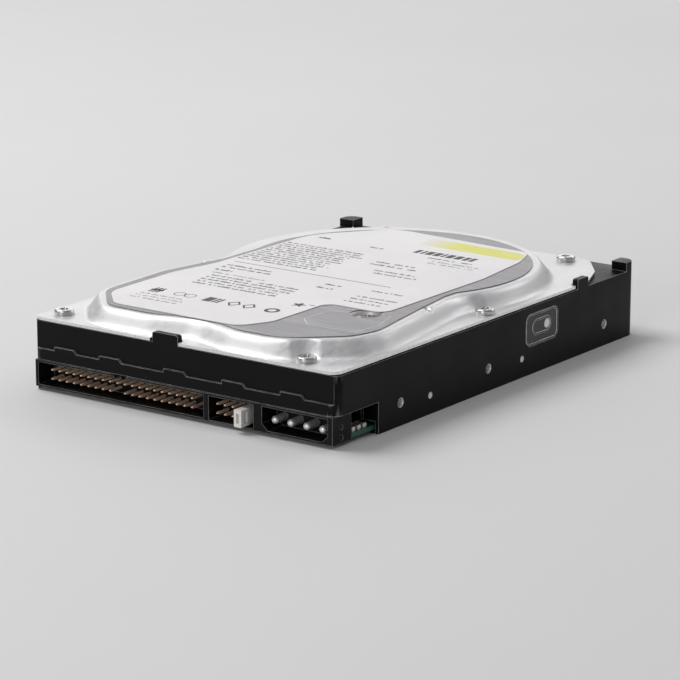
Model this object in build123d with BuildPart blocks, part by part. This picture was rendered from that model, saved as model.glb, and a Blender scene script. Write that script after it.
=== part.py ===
"""A 3.5 inch parallel-ATA hard disk drive, built as an assembly of separate pieces.

Frame: +Z up through the cover, +Y from the connector face to the rear, +X to the side
with the power socket. The origin is the centre of the drive's underside.
"""
from build123d import *
import math
import os

os.makedirs("parts", exist_ok=True)

# ---------------------------------------------------------------- driving dimensions
WIDTH = 101.6
LENGTH = 147.0
HEIGHT = 25.4
SHUNT_PROUD = 2.5
SIDE_X = WIDTH / 2
FRONT_Y = (SHUNT_PROUD - LENGTH) / 2
REAR_Y = FRONT_Y + LENGTH
MIDDLE_Y = (FRONT_Y + REAR_Y) / 2
CORNER_R = 3.0
EPS = 1.0

# Heights of the casting, from the underside up.
BAY_Z = 3.4
FLOOR_Z = 7.6
RIM_Z = 19.4
WALL_CUT_Z = 8.7

# Cover stack.
GASKET_T = 0.3
SHEET_T = 0.8
DAMPER_T = 0.3
LABEL_T = 0.2
FLANGE_Z = RIM_Z + GASKET_T
FLANGE_TOP_Z = FLANGE_Z + SHEET_T
PLATEAU_Z = HEIGHT - LABEL_T - DAMPER_T
PLATEAU_R = 44.6
SLOPE_RUN = 4.2


def at(x, depth):
    """A point given by its x and its distance behind the connector face."""
    return (x, FRONT_Y + depth)


# Spindle, disks and the actuator's pivot.
SPINDLE = at(0, 92.5)
PIVOT = at(32, 39.5)
CHAMBER_R = 48.6
PLATTER_R = 47.5
PLATTER_BORE_R = 12.5
PLATTER_T = 1.27
PLATTER_GAP = 2.6
LOW_PLATTER_Z = 12.5
HIGH_PLATTER_Z = LOW_PLATTER_Z + PLATTER_T + PLATTER_GAP
HEAD_R = 50.0
REST_ANGLE = 104.5
RUNNING_GAP = 0.03
FLY_GAP = 0.3
SLIDER_T = 0.3
BLADE_T = 0.13

# Interfaces of the 3.5 inch form factor.
TAP_R = 1.35
TAP_DEPTH = 3.2
SIDE_TAP_Z = 6.35
SIDE_TAP_DEPTHS = (28.5, 70.1, 130.1)
BOTTOM_TAP_X = 47.625
BOTTOM_TAP_DEPTHS = (41.28, 85.73)

# Connector block at the front.
BLOCK_X0 = -50.0
BLOCK_X1 = 49.5
BLOCK_Z0 = 1.0
BLOCK_Z1 = 8.5
BLOCK_DEPTH = 8.2
CAVITY_Z0 = 1.6
CAVITY_Z1 = 7.9
CAVITY_DEPTH = 6.5
PITCH = 2.54
PIN_W = 0.64
PIN_TIP = 2.0
IDE_X0 = -45.8
IDE_COLUMNS = 20
IDE_ROWS_Z = (3.06, 5.6)
JUMPER_X0 = 10.9
JUMPER_COLUMNS = 5
JUMPER_ROWS_Z = (2.9, 5.44)
SHUNT_COLUMN = 4
POWER_X0 = 29.6
POWER_PITCH = 5.08
POWER_Z = 4.2
POWER_PIN_R = 1.05

# Cut-away in the right-hand wall beside the connector block.
CUT_X0 = 46.0
CUT_DEPTH = 18.45

# Circuit board under the casting.
BOARD_Z = 1.3
BOARD_T = 1.2
BOARD_TOP_Z = BOARD_Z + BOARD_T
CHIP_T = 1.0
BOARD_FRONT = 8.2
BOARD_NECK = 10.2
BOARD_NECK_W = 98.8
BOARD_W = 88.0
BOARD_LENGTH = 95.8
MOTOR_BITE_R = 17.8
BOSS_R = 3.2
HEAD_PORT = at(-2, 24)
HEAD_PORT_SIZE = (17.0, 5.0)
BREATHER = at(-30, 26)

# Motor seat in the casting.
MOTOR_SEAT_R = 15.0
MOTOR_BORE_R = 11.0
MOTOR_SEAT_Z = 4.0
MOTOR_SCREW_CIRCLE_R = 13.0
BOARD_SCREWS = (at(-40, 24), at(40, 30), at(-40, 96), at(40, 96), at(0, 62))

# Posts at the rear corners.
POST_W = 5.0
POST_X = 48.3
POST_DEPTH = 144.5
POST_RISE = 2.6

# Recessed underside behind the board.
RECESS_DEPTH = 124.4
RECESS_SIZE = (88.0, 38.0)
RECESS_RISE = 2.2
RIB_W = 2.0

# Screws inside the chamber.
INNER_TAP_R = 0.85
BRACKET_SCREWS = (at(-12.8, 24), at(7.5, 29))
YOKE_POSTS = (at(19.06, 24.25), at(44.94, 24.25))

# Damper plate: its margin inside the plateau's front, its waist and its round rear part.
DAMPER_MARGIN = 1.6
DAMPER_MIDDLE = at(2.0, 92.5)
DAMPER_R = 40.8
DAMPER_WAIST_X = 38.0

# Cover screws: centre of each head.
COVER_SCREWS = (at(-44.8, 6.3), at(37.8, 4.9), at(-47.3, 73.5),
                at(47.3, 73.5), at(-31.8, 139.6), at(31.8, 139.6))
HEAD_SEAT_R = 3.5
SCREW_R = 1.2
PIVOT_SEAT_R = 3.8
PIVOT_SEAT_DROP = 1.6

# Upright tabs of the casting that stand in notches of the cover's flange.
TAB_T = 1.8
TAB_TOP_Z = 22.2
FRONT_TAB_X = -5.2
FRONT_TAB_W = 8.6
SIDE_TAB_Y = FRONT_Y + 118.3
SIDE_TAB_W = 5.6
TAB_CORNER_R = 0.7
NOTCH_GAP = 0.5

# Ledge across the front wall: the wall above it is set back.
LEDGE_Z = 11.8
LEDGE_DEPTH = 0.6
LEDGE_RISE = 1.0
LEDGE_STEP_W = 7.7
LEDGE_STEPS_X = (-43.2, -27.5, -5.5, 13.9, 32.9)

# Port in the right-hand wall, under its foil seal, and the datum dimples in both walls.
PORT = (FRONT_Y + 97.0, 12.65)
PORT_SEAL = (16.2, 8.9)
DIMPLES = ((FRONT_Y + 42.2, 5.2), (FRONT_Y + 86.9, 5.4))
DIMPLE_R = 0.9

# ---------------------------------------------------------------- shared outlines


def closed(points, radii):
    """A closed wire of straight runs joined by tangent arcs, made into a face."""
    FilletPolyline(*points, radius=radii, close=True)


with BuildSketch() as plateau_front:
    with BuildLine():
        closed(
            [at(-39.0, 73), at(-44.0, 46), at(-43.0, 19), at(-31.0, 5.4), at(-14.5, 5.0),
             at(0, 9.3), at(14.5, 4.5), at(29.5, 4.5), at(44.0, 17.5), at(46.4, 27),
             at(41.5, 55), at(39.0, 73)],
            [8, 14, 12, 10, 14, 14, 14, 16, 12, 14, 12, 8])
    make_face()

with BuildSketch() as plateau_outline:
    add(plateau_front.sketch)
    with Locations(SPINDLE):
        Circle(PLATEAU_R)

with BuildSketch() as damper_outline:
    offset(plateau_front.sketch, amount=-DAMPER_MARGIN)
    with Locations(at(0, 78)):
        Rectangle(2 * DAMPER_WAIST_X, 34)
    with Locations(DAMPER_MIDDLE):
        Circle(DAMPER_R)
    with Locations(PIVOT):
        Circle(PIVOT_SEAT_R + 0.6, mode=Mode.SUBTRACT)

with BuildSketch() as chamber_outline:
    with BuildLine():
        closed(
            [at(-42.0, 80), at(-45.0, 48), at(-45.0, 17), at(-37.0, 11.2), at(45.8, 11.2),
             at(47.4, 12.8), at(47.4, 46), at(43.0, 54), at(43.0, 80)],
            [6, 8, 6, 4, 1.5, 1.5, 6, 6, 6])
    make_face()
    with Locations(SPINDLE):
        Circle(CHAMBER_R)


def tab_notches(gap, mode=Mode.ADD):
    """Outlines of the two notches in the flange, a gap wider than their tabs all round."""
    with Locations((FRONT_TAB_X, FRONT_Y + LEDGE_DEPTH)):
        RectangleRounded(FRONT_TAB_W + 2 * gap, 2 * (TAB_T + gap), TAB_CORNER_R, mode=mode)
    with Locations((SIDE_X, SIDE_TAB_Y)):
        RectangleRounded(2 * (TAB_T + gap), SIDE_TAB_W + 2 * gap, TAB_CORNER_R, mode=mode)


with BuildSketch() as flange_outline:
    with BuildLine():
        closed(
            [at(-50.5, 0.1), at(50.5, 0.1), at(50.5, 121.5), at(45.7, 133), at(37.0, 144.3),
             at(-37.0, 144.3), at(-45.7, 133), at(-50.5, 121.5)],
            [CORNER_R, CORNER_R, 6, 9, 7, 7, 9, 6])
    make_face()
    tab_notches(NOTCH_GAP, Mode.SUBTRACT)


def board_outline(gap):
    """Outline of the circuit board, grown by gap for the bay that holds it."""
    with Locations(at(0.2, BOARD_FRONT + BOARD_NECK / 2)):
        Rectangle(BOARD_NECK_W + gap, BOARD_NECK + gap)
    with Locations(at(0, BOARD_FRONT + BOARD_LENGTH / 2)):
        Rectangle(BOARD_W + 2 * gap, BOARD_LENGTH + 2 * gap)
    with Locations(SPINDLE):
        Circle(MOTOR_BITE_R - gap, mode=Mode.SUBTRACT)


def torx_screw(head_r, head_t, shank_r, shank_l, head_z):
    """A pan-head screw standing at the origin, its head's seat at head_z."""
    with BuildPart() as screw:
        with BuildSketch(Plane.XY.offset(head_z)):
            Circle(head_r)
        extrude(amount=head_t)
        fillet(screw.edges().group_by(Axis.Z)[-1], head_t * 0.35)
        with BuildSketch(Plane.XY.offset(head_z)):
            Circle(shank_r)
        extrude(amount=-shank_l)
        with BuildSketch(Plane.XY.offset(head_z + head_t)):
            Circle(head_r * 0.42)
            with PolarLocations(head_r * 0.46, 6):
                Circle(head_r * 0.13)
        extrude(amount=-head_t * 0.6, mode=Mode.SUBTRACT)
    return screw.part


# ---------------------------------------------------------------- base casting
with BuildPart() as base:
    with BuildSketch():
        with Locations((0, MIDDLE_Y)):
            RectangleRounded(WIDTH, LENGTH, CORNER_R)
    extrude(amount=RIM_Z)
    # Disk and actuator chamber.
    with BuildSketch(Plane.XY.offset(FLOOR_Z)):
        add(chamber_outline.sketch)
    extrude(amount=RIM_Z, mode=Mode.SUBTRACT)
    # Locating tabs that stand up through the cover's notches, and the rear corner posts.
    with BuildSketch(Plane.XZ.offset(-FRONT_Y - LEDGE_DEPTH)):
        with Locations((FRONT_TAB_X, (TAB_TOP_Z + FLOOR_Z) / 2)):
            RectangleRounded(FRONT_TAB_W, TAB_TOP_Z - FLOOR_Z, TAB_CORNER_R)
    extrude(amount=-TAB_T)
    with BuildSketch(Plane.YZ.offset(SIDE_X)):
        with Locations((SIDE_TAB_Y, (TAB_TOP_Z + FLOOR_Z) / 2)):
            RectangleRounded(SIDE_TAB_W, TAB_TOP_Z - FLOOR_Z, TAB_CORNER_R)
    extrude(amount=-TAB_T)
    with BuildSketch(Plane.XY.offset(RIM_Z)):
        with Locations(at(POST_X, POST_DEPTH), at(-POST_X, POST_DEPTH)):
            Rectangle(POST_W, POST_W)
        with Locations((0, MIDDLE_Y)):
            RectangleRounded(WIDTH, LENGTH, CORNER_R, mode=Mode.INTERSECT)
    extrude(amount=POST_RISE)
    # Opening for the connector block, through to the cut-away in the right-hand wall.
    with BuildSketch():
        with Locations(at(1.0, BLOCK_DEPTH / 2)):
            Rectangle(WIDTH + 0.4, BLOCK_DEPTH + 0.001)
        with Locations(at(CUT_X0 + 3.0, CUT_DEPTH / 2)):
            Rectangle(6.0, CUT_DEPTH)
    extrude(amount=WALL_CUT_Z, mode=Mode.SUBTRACT)
    # Room above the solder tails.
    with BuildSketch():
        with Locations(at(0.4, 12.8)):
            Rectangle(98.4, 9.4)
    extrude(amount=6.4, mode=Mode.SUBTRACT)
    # Bay for the circuit board.
    with BuildSketch():
        board_outline(0.4)
    extrude(amount=BAY_Z, mode=Mode.SUBTRACT)
    # Recessed rear underside between the rails, with its ribs.
    with BuildSketch():
        with Locations(at(0, RECESS_DEPTH)):
            RectangleRounded(*RECESS_SIZE, 4)
        with Locations(SPINDLE):
            Circle(MOTOR_BITE_R, mode=Mode.SUBTRACT)
        with Locations(at(-RECESS_SIZE[0] / 4, RECESS_DEPTH), at(RECESS_SIZE[0] / 4, RECESS_DEPTH)):
            Rectangle(RIB_W, RECESS_SIZE[1], mode=Mode.SUBTRACT)
        with Locations(at(0, RECESS_DEPTH + 3.6)):
            Rectangle(RECESS_SIZE[0], RIB_W, mode=Mode.SUBTRACT)
    extrude(amount=RECESS_RISE, mode=Mode.SUBTRACT)
    # Set-back upper part of the front wall, above a ledge with five raised steps.
    with BuildSketch(Plane.XZ.offset(-FRONT_Y)):
        with Locations((0, (LEDGE_Z + RIM_Z) / 2)):
            Rectangle(WIDTH + EPS, RIM_Z - LEDGE_Z)
        for left in LEDGE_STEPS_X:
            with BuildLine():
                Polyline((left, LEDGE_Z), (left, LEDGE_Z + LEDGE_RISE),
                         (left + LEDGE_STEP_W - LEDGE_RISE, LEDGE_Z + LEDGE_RISE),
                         (left + LEDGE_STEP_W, LEDGE_Z), close=True)
            make_face(mode=Mode.SUBTRACT)
    extrude(amount=-LEDGE_DEPTH, mode=Mode.SUBTRACT)
    # Bosses that the board's screws hold, reaching down to the board.
    with BuildSketch(Plane.XY.offset(BOARD_TOP_Z)):
        with Locations(*BOARD_SCREWS):
            Circle(BOSS_R)
    extrude(amount=BAY_Z - BOARD_TOP_Z + 0.5)
    with BuildSketch(Plane.XY.offset(BOARD_TOP_Z)):
        with Locations(*BOARD_SCREWS):
            Circle(1.0)
    extrude(amount=3.2, mode=Mode.SUBTRACT)
    # Motor seat and bore.
    with BuildSketch():
        with Locations(SPINDLE):
            Circle(MOTOR_SEAT_R)
    extrude(amount=MOTOR_SEAT_Z, mode=Mode.SUBTRACT)
    with BuildSketch():
        with Locations(SPINDLE):
            Circle(MOTOR_BORE_R)
    extrude(amount=FLOOR_Z + EPS, mode=Mode.SUBTRACT)
    with BuildSketch(Plane.XY.offset(MOTOR_SEAT_Z)):
        with Locations(SPINDLE):
            with PolarLocations(MOTOR_SCREW_CIRCLE_R, 3):
                Circle(0.9)
    extrude(amount=2.6, mode=Mode.SUBTRACT)
    # Pads under the pivot and the magnet yoke, inside the chamber.
    with BuildSketch(Plane.XY.offset(FLOOR_Z)):
        with Locations(PIVOT):
            Circle(5.0)
    extrude(amount=0.6)
    with BuildSketch(Plane.XY.offset(FLOOR_Z - 4.0)):
        with Locations(PIVOT):
            Circle(1.5)
    extrude(amount=6.0, mode=Mode.SUBTRACT)
    # Tapped holes for the yoke's and the flex bracket's screws.
    with BuildSketch(Plane.XY.offset(FLOOR_Z)):
        with Locations(*YOKE_POSTS, *BRACKET_SCREWS):
            Circle(INNER_TAP_R)
    extrude(amount=-2.4, mode=Mode.SUBTRACT)
    # Window for the head connector, port slot in the side wall, breather hole.
    with BuildSketch():
        with Locations(HEAD_PORT):
            Rectangle(*HEAD_PORT_SIZE)
    extrude(amount=FLOOR_Z + EPS, mode=Mode.SUBTRACT)
    with BuildSketch(Plane.YZ.offset(SIDE_X)):
        with Locations(PORT):
            RectangleRounded(PORT_SEAL[0] + 0.4, PORT_SEAL[1] + 0.4, 2.4)
    extrude(amount=-0.3, mode=Mode.SUBTRACT)
    with BuildSketch(Plane.YZ.offset(SIDE_X)):
        with Locations(PORT):
            SlotOverall(9.6, 4.0)
    extrude(amount=-4.0, mode=Mode.SUBTRACT)
    with BuildSketch():
        with Locations(BREATHER):
            Circle(0.8)
    extrude(amount=FLOOR_Z + EPS, mode=Mode.SUBTRACT)
    # Tapped holes for the cover screws and the two sets of mounting screws.
    with BuildSketch(Plane.XY.offset(RIM_Z - 6.0)):
        with Locations(*COVER_SCREWS):
            Circle(SCREW_R)
    extrude(amount=7.0, mode=Mode.SUBTRACT)
    for side in (-1, 1):
        with BuildSketch(Plane.YZ.offset(side * SIDE_X)):
            with Locations(*[(FRONT_Y + depth, SIDE_TAP_Z) for depth in SIDE_TAP_DEPTHS]):
                Circle(TAP_R)
        extrude(amount=-side * TAP_DEPTH, mode=Mode.SUBTRACT)
        with BuildSketch(Plane.YZ.offset(side * SIDE_X)):
            with Locations(*DIMPLES):
                Circle(DIMPLE_R)
        extrude(amount=-side * 0.5, mode=Mode.SUBTRACT)
    with BuildSketch():
        with Locations(*[at(side * BOTTOM_TAP_X, depth)
                         for side in (-1, 1) for depth in BOTTOM_TAP_DEPTHS]):
            Circle(TAP_R)
    extrude(amount=TAP_DEPTH, mode=Mode.SUBTRACT)
base.part.label = "base_casting"
export_step(base.part, "parts/base_casting.step")

# ---------------------------------------------------------------- cover and its stack
with BuildPart() as cover_gasket:
    with BuildSketch(Plane.XY.offset(RIM_Z)):
        offset(chamber_outline.sketch, amount=0.95)
        offset(chamber_outline.sketch, amount=0.2, mode=Mode.SUBTRACT)
    extrude(amount=GASKET_T)
cover_gasket.part.label = "cover_gasket"
export_step(cover_gasket.part, "parts/cover_gasket.step")


def dome(grow, low_z, high_z):
    """The raised part of the cover, tapering inwards from its foot to its flat top."""
    rise = high_z - low_z
    with BuildPart() as raised:
        with BuildSketch(Plane.XY.offset(low_z)):
            offset(plateau_outline.sketch, amount=SLOPE_RUN + grow)
        extrude(amount=rise, taper=math.degrees(math.atan2(SLOPE_RUN, PLATEAU_Z - FLANGE_TOP_Z)))
        with BuildSketch(Plane.XY.offset(low_z)):
            with Locations(*COVER_SCREWS):
                Circle(HEAD_SEAT_R - grow)
            tab_notches(NOTCH_GAP - grow)
        extrude(amount=rise, mode=Mode.SUBTRACT)
    return raised.part


dome_outside = dome(0, FLANGE_TOP_Z, PLATEAU_Z)
dome_inside = dome(-SHEET_T, FLANGE_Z, PLATEAU_Z - SHEET_T)

with BuildPart() as top_cover:
    with BuildSketch(Plane.XY.offset(FLANGE_Z)):
        add(flange_outline.sketch)
    extrude(amount=SHEET_T)
    add(dome_outside)
    add(dome_inside, mode=Mode.SUBTRACT)
    # Recess round the pivot screw.
    with BuildSketch(Plane.XY.offset(PLATEAU_Z)):
        with Locations(PIVOT):
            Circle(PIVOT_SEAT_R + SHEET_T)
    extrude(amount=-PIVOT_SEAT_DROP - SHEET_T)
    with BuildSketch(Plane.XY.offset(PLATEAU_Z)):
        with Locations(PIVOT):
            Circle(PIVOT_SEAT_R)
    extrude(amount=-PIVOT_SEAT_DROP, mode=Mode.SUBTRACT)
    with BuildSketch(Plane.XY.offset(FLANGE_Z - EPS)):
        with Locations(*COVER_SCREWS):
            Circle(SCREW_R)
        with Locations(PIVOT):
            Circle(1.5)
    extrude(amount=HEIGHT, mode=Mode.SUBTRACT)
top_cover.part.label = "top_cover"
export_step(top_cover.part, "parts/top_cover.step")

with BuildPart() as damper_plate:
    with BuildSketch(Plane.XY.offset(PLATEAU_Z)):
        add(damper_outline.sketch)
    extrude(amount=DAMPER_T)
damper_plate.part.label = "damper_plate"
export_step(damper_plate.part, "parts/damper_plate.step")

with BuildPart() as product_label:
    with BuildSketch(Plane.XY.offset(PLATEAU_Z + DAMPER_T)):
        with BuildLine():
            closed(
                [at(-38.5, 55), at(-38.0, 18.5), at(-29, 8.9), at(12.5, 8.9), at(17.2, 18),
                 at(17.2, 42.2), at(35.8, 42.2), at(35.8, 90), at(33.0, 113), at(29.0, 124.5),
                 at(-20.0, 127.5), at(-36.0, 105), at(-36.0, 66)],
                [20, 8, 6, 5, 5, 3, 4, 30, 10, 5, 12, 20, 16])
        make_face()
    extrude(amount=LABEL_T)
product_label.part.label = "product_label"
export_step(product_label.part, "parts/product_label.step")

cover_screw = torx_screw(2.7, 1.5, SCREW_R - 0.03, 5.5, FLANGE_TOP_Z)
with BuildPart() as cover_screws:
    with Locations(*COVER_SCREWS):
        add(cover_screw)
cover_screws.part.label = "cover_screws"
export_step(cover_screws.part, "parts/cover_screws.step")

pivot_screw = torx_screw(3.0, 0.9, 1.45, 4.5, PLATEAU_Z - PIVOT_SEAT_DROP)
with BuildPart() as pivot_cover_screw:
    with Locations(PIVOT):
        add(pivot_screw)
pivot_cover_screw.part.label = "pivot_cover_screw"
export_step(pivot_cover_screw.part, "parts/pivot_cover_screw.step")

with BuildPart() as port_seal:
    with BuildSketch(Plane.YZ.offset(SIDE_X - 0.3)):
        with Locations(PORT):
            RectangleRounded(*PORT_SEAL, 2.2)
    extrude(amount=0.3)
port_seal.part.label = "port_seal"
export_step(port_seal.part, "parts/port_seal.step")

with BuildPart() as breather_filter:
    with BuildSketch(Plane.XY.offset(FLOOR_Z)):
        with Locations(BREATHER):
            Circle(4.2)
    extrude(amount=3.0)
    fillet(breather_filter.edges().group_by(Axis.Z)[-1], 0.6)
breather_filter.part.label = "breather_filter"
export_step(breather_filter.part, "parts/breather_filter.step")

with BuildPart() as recirculation_filter:
    with BuildSketch(Plane.XY.offset(FLOOR_Z)):
        with Locations(Location((*at(-36, 42), 0), (0, 0, 60))):
            RectangleRounded(14.0, 3.0, 1.2)
    extrude(amount=9.0)
recirculation_filter.part.label = "recirculation_filter"
export_step(recirculation_filter.part, "parts/recirculation_filter.step")

# ---------------------------------------------------------------- circuit board
with BuildPart() as circuit_board:
    with BuildSketch(Plane.XY.offset(BOARD_Z)):
        board_outline(0)
        with Locations(*BOARD_SCREWS):
            Circle(1.3, mode=Mode.SUBTRACT)
    extrude(amount=BOARD_T)
circuit_board.part.label = "circuit_board"
export_step(circuit_board.part, "parts/circuit_board.step")

with BuildPart() as board_insulator:
    with BuildSketch(Plane.XY.offset(BOARD_TOP_Z)):
        with Locations(at(0, 61)):
            Rectangle(80.0, 84.0)
        with Locations(SPINDLE):
            Circle(MOTOR_BITE_R + 2, mode=Mode.SUBTRACT)
        with Locations(*BOARD_SCREWS):
            Circle(3.6, mode=Mode.SUBTRACT)
        with Locations(HEAD_PORT):
            Rectangle(18.0, 6.0, mode=Mode.SUBTRACT)
        with Locations(at(0, 71.2)):
            Rectangle(12.0, 7.0, mode=Mode.SUBTRACT)
    extrude(amount=0.6)
board_insulator.part.label = "board_insulator"
export_step(board_insulator.part, "parts/board_insulator.step")

board_screw = torx_screw(2.0, 0.9, 0.95, 3.8, 0)
with BuildPart() as board_screws:
    with Locations(*[Location((x, y, BOARD_Z), (180, 0, 0)) for x, y in BOARD_SCREWS]):
        add(board_screw)
board_screws.part.label = "board_screws"
export_step(board_screws.part, "parts/board_screws.step")


def leaded_chip(width, depth, leads_x, leads_y, pitch):
    """A flat package under the board, with leads along its sides."""
    with BuildPart() as chip:
        with BuildSketch(Plane.XY.offset(BOARD_Z - CHIP_T)):
            RectangleRounded(width, depth, 0.4)
        extrude(amount=CHIP_T - 0.05)
        with BuildSketch(Plane.XY.offset(BOARD_Z - 0.5)):
            if leads_x:
                with GridLocations(pitch, depth + 0.8, leads_x, 2):
                    Rectangle(pitch * 0.45, 1.2)
            if leads_y:
                with GridLocations(width + 0.8, pitch, 2, leads_y):
                    Rectangle(1.2, pitch * 0.45)
        extrude(amount=0.5)
    return chip.part


with BuildPart() as controller_chip:
    with Locations(at(-14, 42)):
        add(leaded_chip(20, 20, 22, 22, 0.8))
controller_chip.part.label = "controller_chip"
export_step(controller_chip.part, "parts/controller_chip.step")

with BuildPart() as motor_driver_chip:
    with Locations(at(22, 68)):
        add(leaded_chip(12, 12, 13, 13, 0.8))
motor_driver_chip.part.label = "motor_driver_chip"
export_step(motor_driver_chip.part, "parts/motor_driver_chip.step")

with BuildPart() as cache_chip:
    with Locations(at(-27, 70)):
        add(leaded_chip(18.4, 10.2, 0, 11, 0.8))
cache_chip.part.label = "cache_chip"
export_step(cache_chip.part, "parts/cache_chip.step")

with BuildPart() as crystal:
    with BuildSketch(Plane.XY.offset(BOARD_Z - CHIP_T)):
        with Locations(at(-33, 44)):
            RectangleRounded(4.6, 11.0, 2.2)
    extrude(amount=CHIP_T)
crystal.part.label = "crystal"
export_step(crystal.part, "parts/crystal.step")

with BuildPart() as smd_capacitors:
    with BuildSketch(Plane.XY.offset(BOARD_Z - 0.8)):
        with Locations(at(8, 30), at(22, 52), at(-27, 84)):
            with GridLocations(3.2, 2.2, 4, 3):
                Rectangle(1.8, 1.0)
        with Locations(at(30, 20), at(30, 25)):
            Rectangle(7.0, 3.6)
    extrude(amount=0.8)
smd_capacitors.part.label = "smd_capacitors"
export_step(smd_capacitors.part, "parts/smd_capacitors.step")

with BuildPart() as smd_resistors:
    with BuildSketch(Plane.XY.offset(BOARD_Z - 0.5)):
        with Locations(at(-20, 22), at(8, 42), at(30, 84), at(10, 55)):
            with GridLocations(2.2, 2.0, 5, 3):
                Rectangle(0.9, 1.5)
    extrude(amount=0.5)
smd_resistors.part.label = "smd_resistors"
export_step(smd_resistors.part, "parts/smd_resistors.step")

with BuildPart() as power_inductors:
    with BuildSketch(Plane.XY.offset(BOARD_Z - CHIP_T)):
        with Locations(at(36, 46), at(36, 54), at(36, 62)):
            RectangleRounded(6.0, 6.0, 1.0)
    extrude(amount=CHIP_T)
power_inductors.part.label = "power_inductors"
export_step(power_inductors.part, "parts/power_inductors.step")

with BuildPart() as motor_connector:
    with BuildSketch(Plane.XY.offset(BOARD_TOP_Z)):
        with Locations(at(0, 70.2)):
            Rectangle(10.0, 3.0)
    extrude(amount=0.85)
motor_connector.part.label = "motor_connector"
export_step(motor_connector.part, "parts/motor_connector.step")

with BuildPart() as head_connector:
    with BuildSketch(Plane.XY.offset(BOARD_TOP_Z)):
        with Locations(HEAD_PORT):
            Rectangle(16.0, 3.8)
    extrude(amount=FLOOR_Z + 1.4 - BOARD_TOP_Z)
head_connector.part.label = "head_connector"
export_step(head_connector.part, "parts/head_connector.step")

# ---------------------------------------------------------------- connector block and pins
HALF_PIN = PIN_W / 2
JUMPER_Z = sum(JUMPER_ROWS_Z) / 2
IDE_PINS = [(IDE_X0 + PITCH * column, row_z) for column in range(IDE_COLUMNS)
            for row_z in IDE_ROWS_Z if (column, row_z) != (IDE_COLUMNS // 2 - 1, IDE_ROWS_Z[0])]
JUMPER_PINS = [(JUMPER_X0 + PITCH * column, row_z) for column in range(JUMPER_COLUMNS)
               for row_z in JUMPER_ROWS_Z]
POWER_PINS = [(POWER_X0 + POWER_PITCH * column, POWER_Z) for column in range(4)]
FRONT_PLANE = Plane.XZ.offset(-FRONT_Y)


def pin_group(pins, tail_depths, width):
    """Square pins bent down to the board, as (x, height) places in the front face."""
    with BuildPart() as group:
        for x, z in pins:
            tail = FRONT_Y + tail_depths[z]
            tip = FRONT_Y + PIN_TIP
            half = width / 2
            with BuildSketch(Plane.YZ.offset(x - half)):
                with BuildLine():
                    Polyline((tip, z - half / 2), (tip, z + half / 2), (tip + 0.6, z + half),
                             (tail + half, z + half), (tail + half, BOARD_TOP_Z),
                             (tail - half, BOARD_TOP_Z), (tail - half, z - half),
                             (tip + 0.6, z - half), close=True)
                make_face()
            extrude(amount=width)
    return group


with BuildPart() as connector_housing:
    with BuildSketch(FRONT_PLANE):
        with Locations(((BLOCK_X0 + BLOCK_X1) / 2, (BLOCK_Z0 + BLOCK_Z1) / 2)):
            Rectangle(BLOCK_X1 - BLOCK_X0, BLOCK_Z1 - BLOCK_Z0)
    extrude(amount=-BLOCK_DEPTH)
    # Shrouded 40-way socket with its key slot, jumper bay, and bevelled power socket.
    with BuildSketch(FRONT_PLANE):
        with BuildLine():
            Polyline((-49.0, CAVITY_Z0), (7.9, CAVITY_Z0), (7.9, CAVITY_Z1), (-18.1, CAVITY_Z1),
                     (-18.1, BLOCK_Z1 + EPS), (-23.6, BLOCK_Z1 + EPS), (-23.6, CAVITY_Z1),
                     (-49.0, CAVITY_Z1), close=True)
        make_face()
        with BuildLine():
            Polyline((9.6, CAVITY_Z0 - 0.2), (24.3, CAVITY_Z0 - 0.2), (24.3, CAVITY_Z1),
                     (9.6, CAVITY_Z1), close=True)
        make_face()
        with BuildLine():
            Polyline((27.0, 3.4), (28.8, CAVITY_Z0), (46.2, CAVITY_Z0), (48.0, 3.4),
                     (48.0, CAVITY_Z1), (27.0, CAVITY_Z1), close=True)
        make_face()
    extrude(amount=-CAVITY_DEPTH, mode=Mode.SUBTRACT)
    # Holes that the pins stand in.
    with BuildSketch(FRONT_PLANE):
        with Locations(*IDE_PINS, *JUMPER_PINS):
            Rectangle(PIN_W, PIN_W)
        with Locations(*POWER_PINS):
            Circle(POWER_PIN_R)
    extrude(amount=-BLOCK_DEPTH - EPS, mode=Mode.SUBTRACT)
    # Moulding pits in the bare end of the block.
    with BuildSketch(Plane.YZ.offset(BLOCK_X1)):
        with Locations((FRONT_Y + 4.0, 5.2), (FRONT_Y + 4.0, 2.4)):
            Circle(0.7)
    extrude(amount=-0.6, mode=Mode.SUBTRACT)
connector_housing.part.label = "connector_housing"
export_step(connector_housing.part, "parts/connector_housing.step")

ide_pins = pin_group(IDE_PINS, dict(zip(IDE_ROWS_Z, (11.2, 13.6))), PIN_W)
ide_pins.part.label = "ide_pins"
export_step(ide_pins.part, "parts/ide_pins.step")

jumper_pins = pin_group(JUMPER_PINS, dict(zip(JUMPER_ROWS_Z, (11.2, 13.6))), PIN_W)
jumper_pins.part.label = "jumper_pins"
export_step(jumper_pins.part, "parts/jumper_pins.step")

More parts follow.
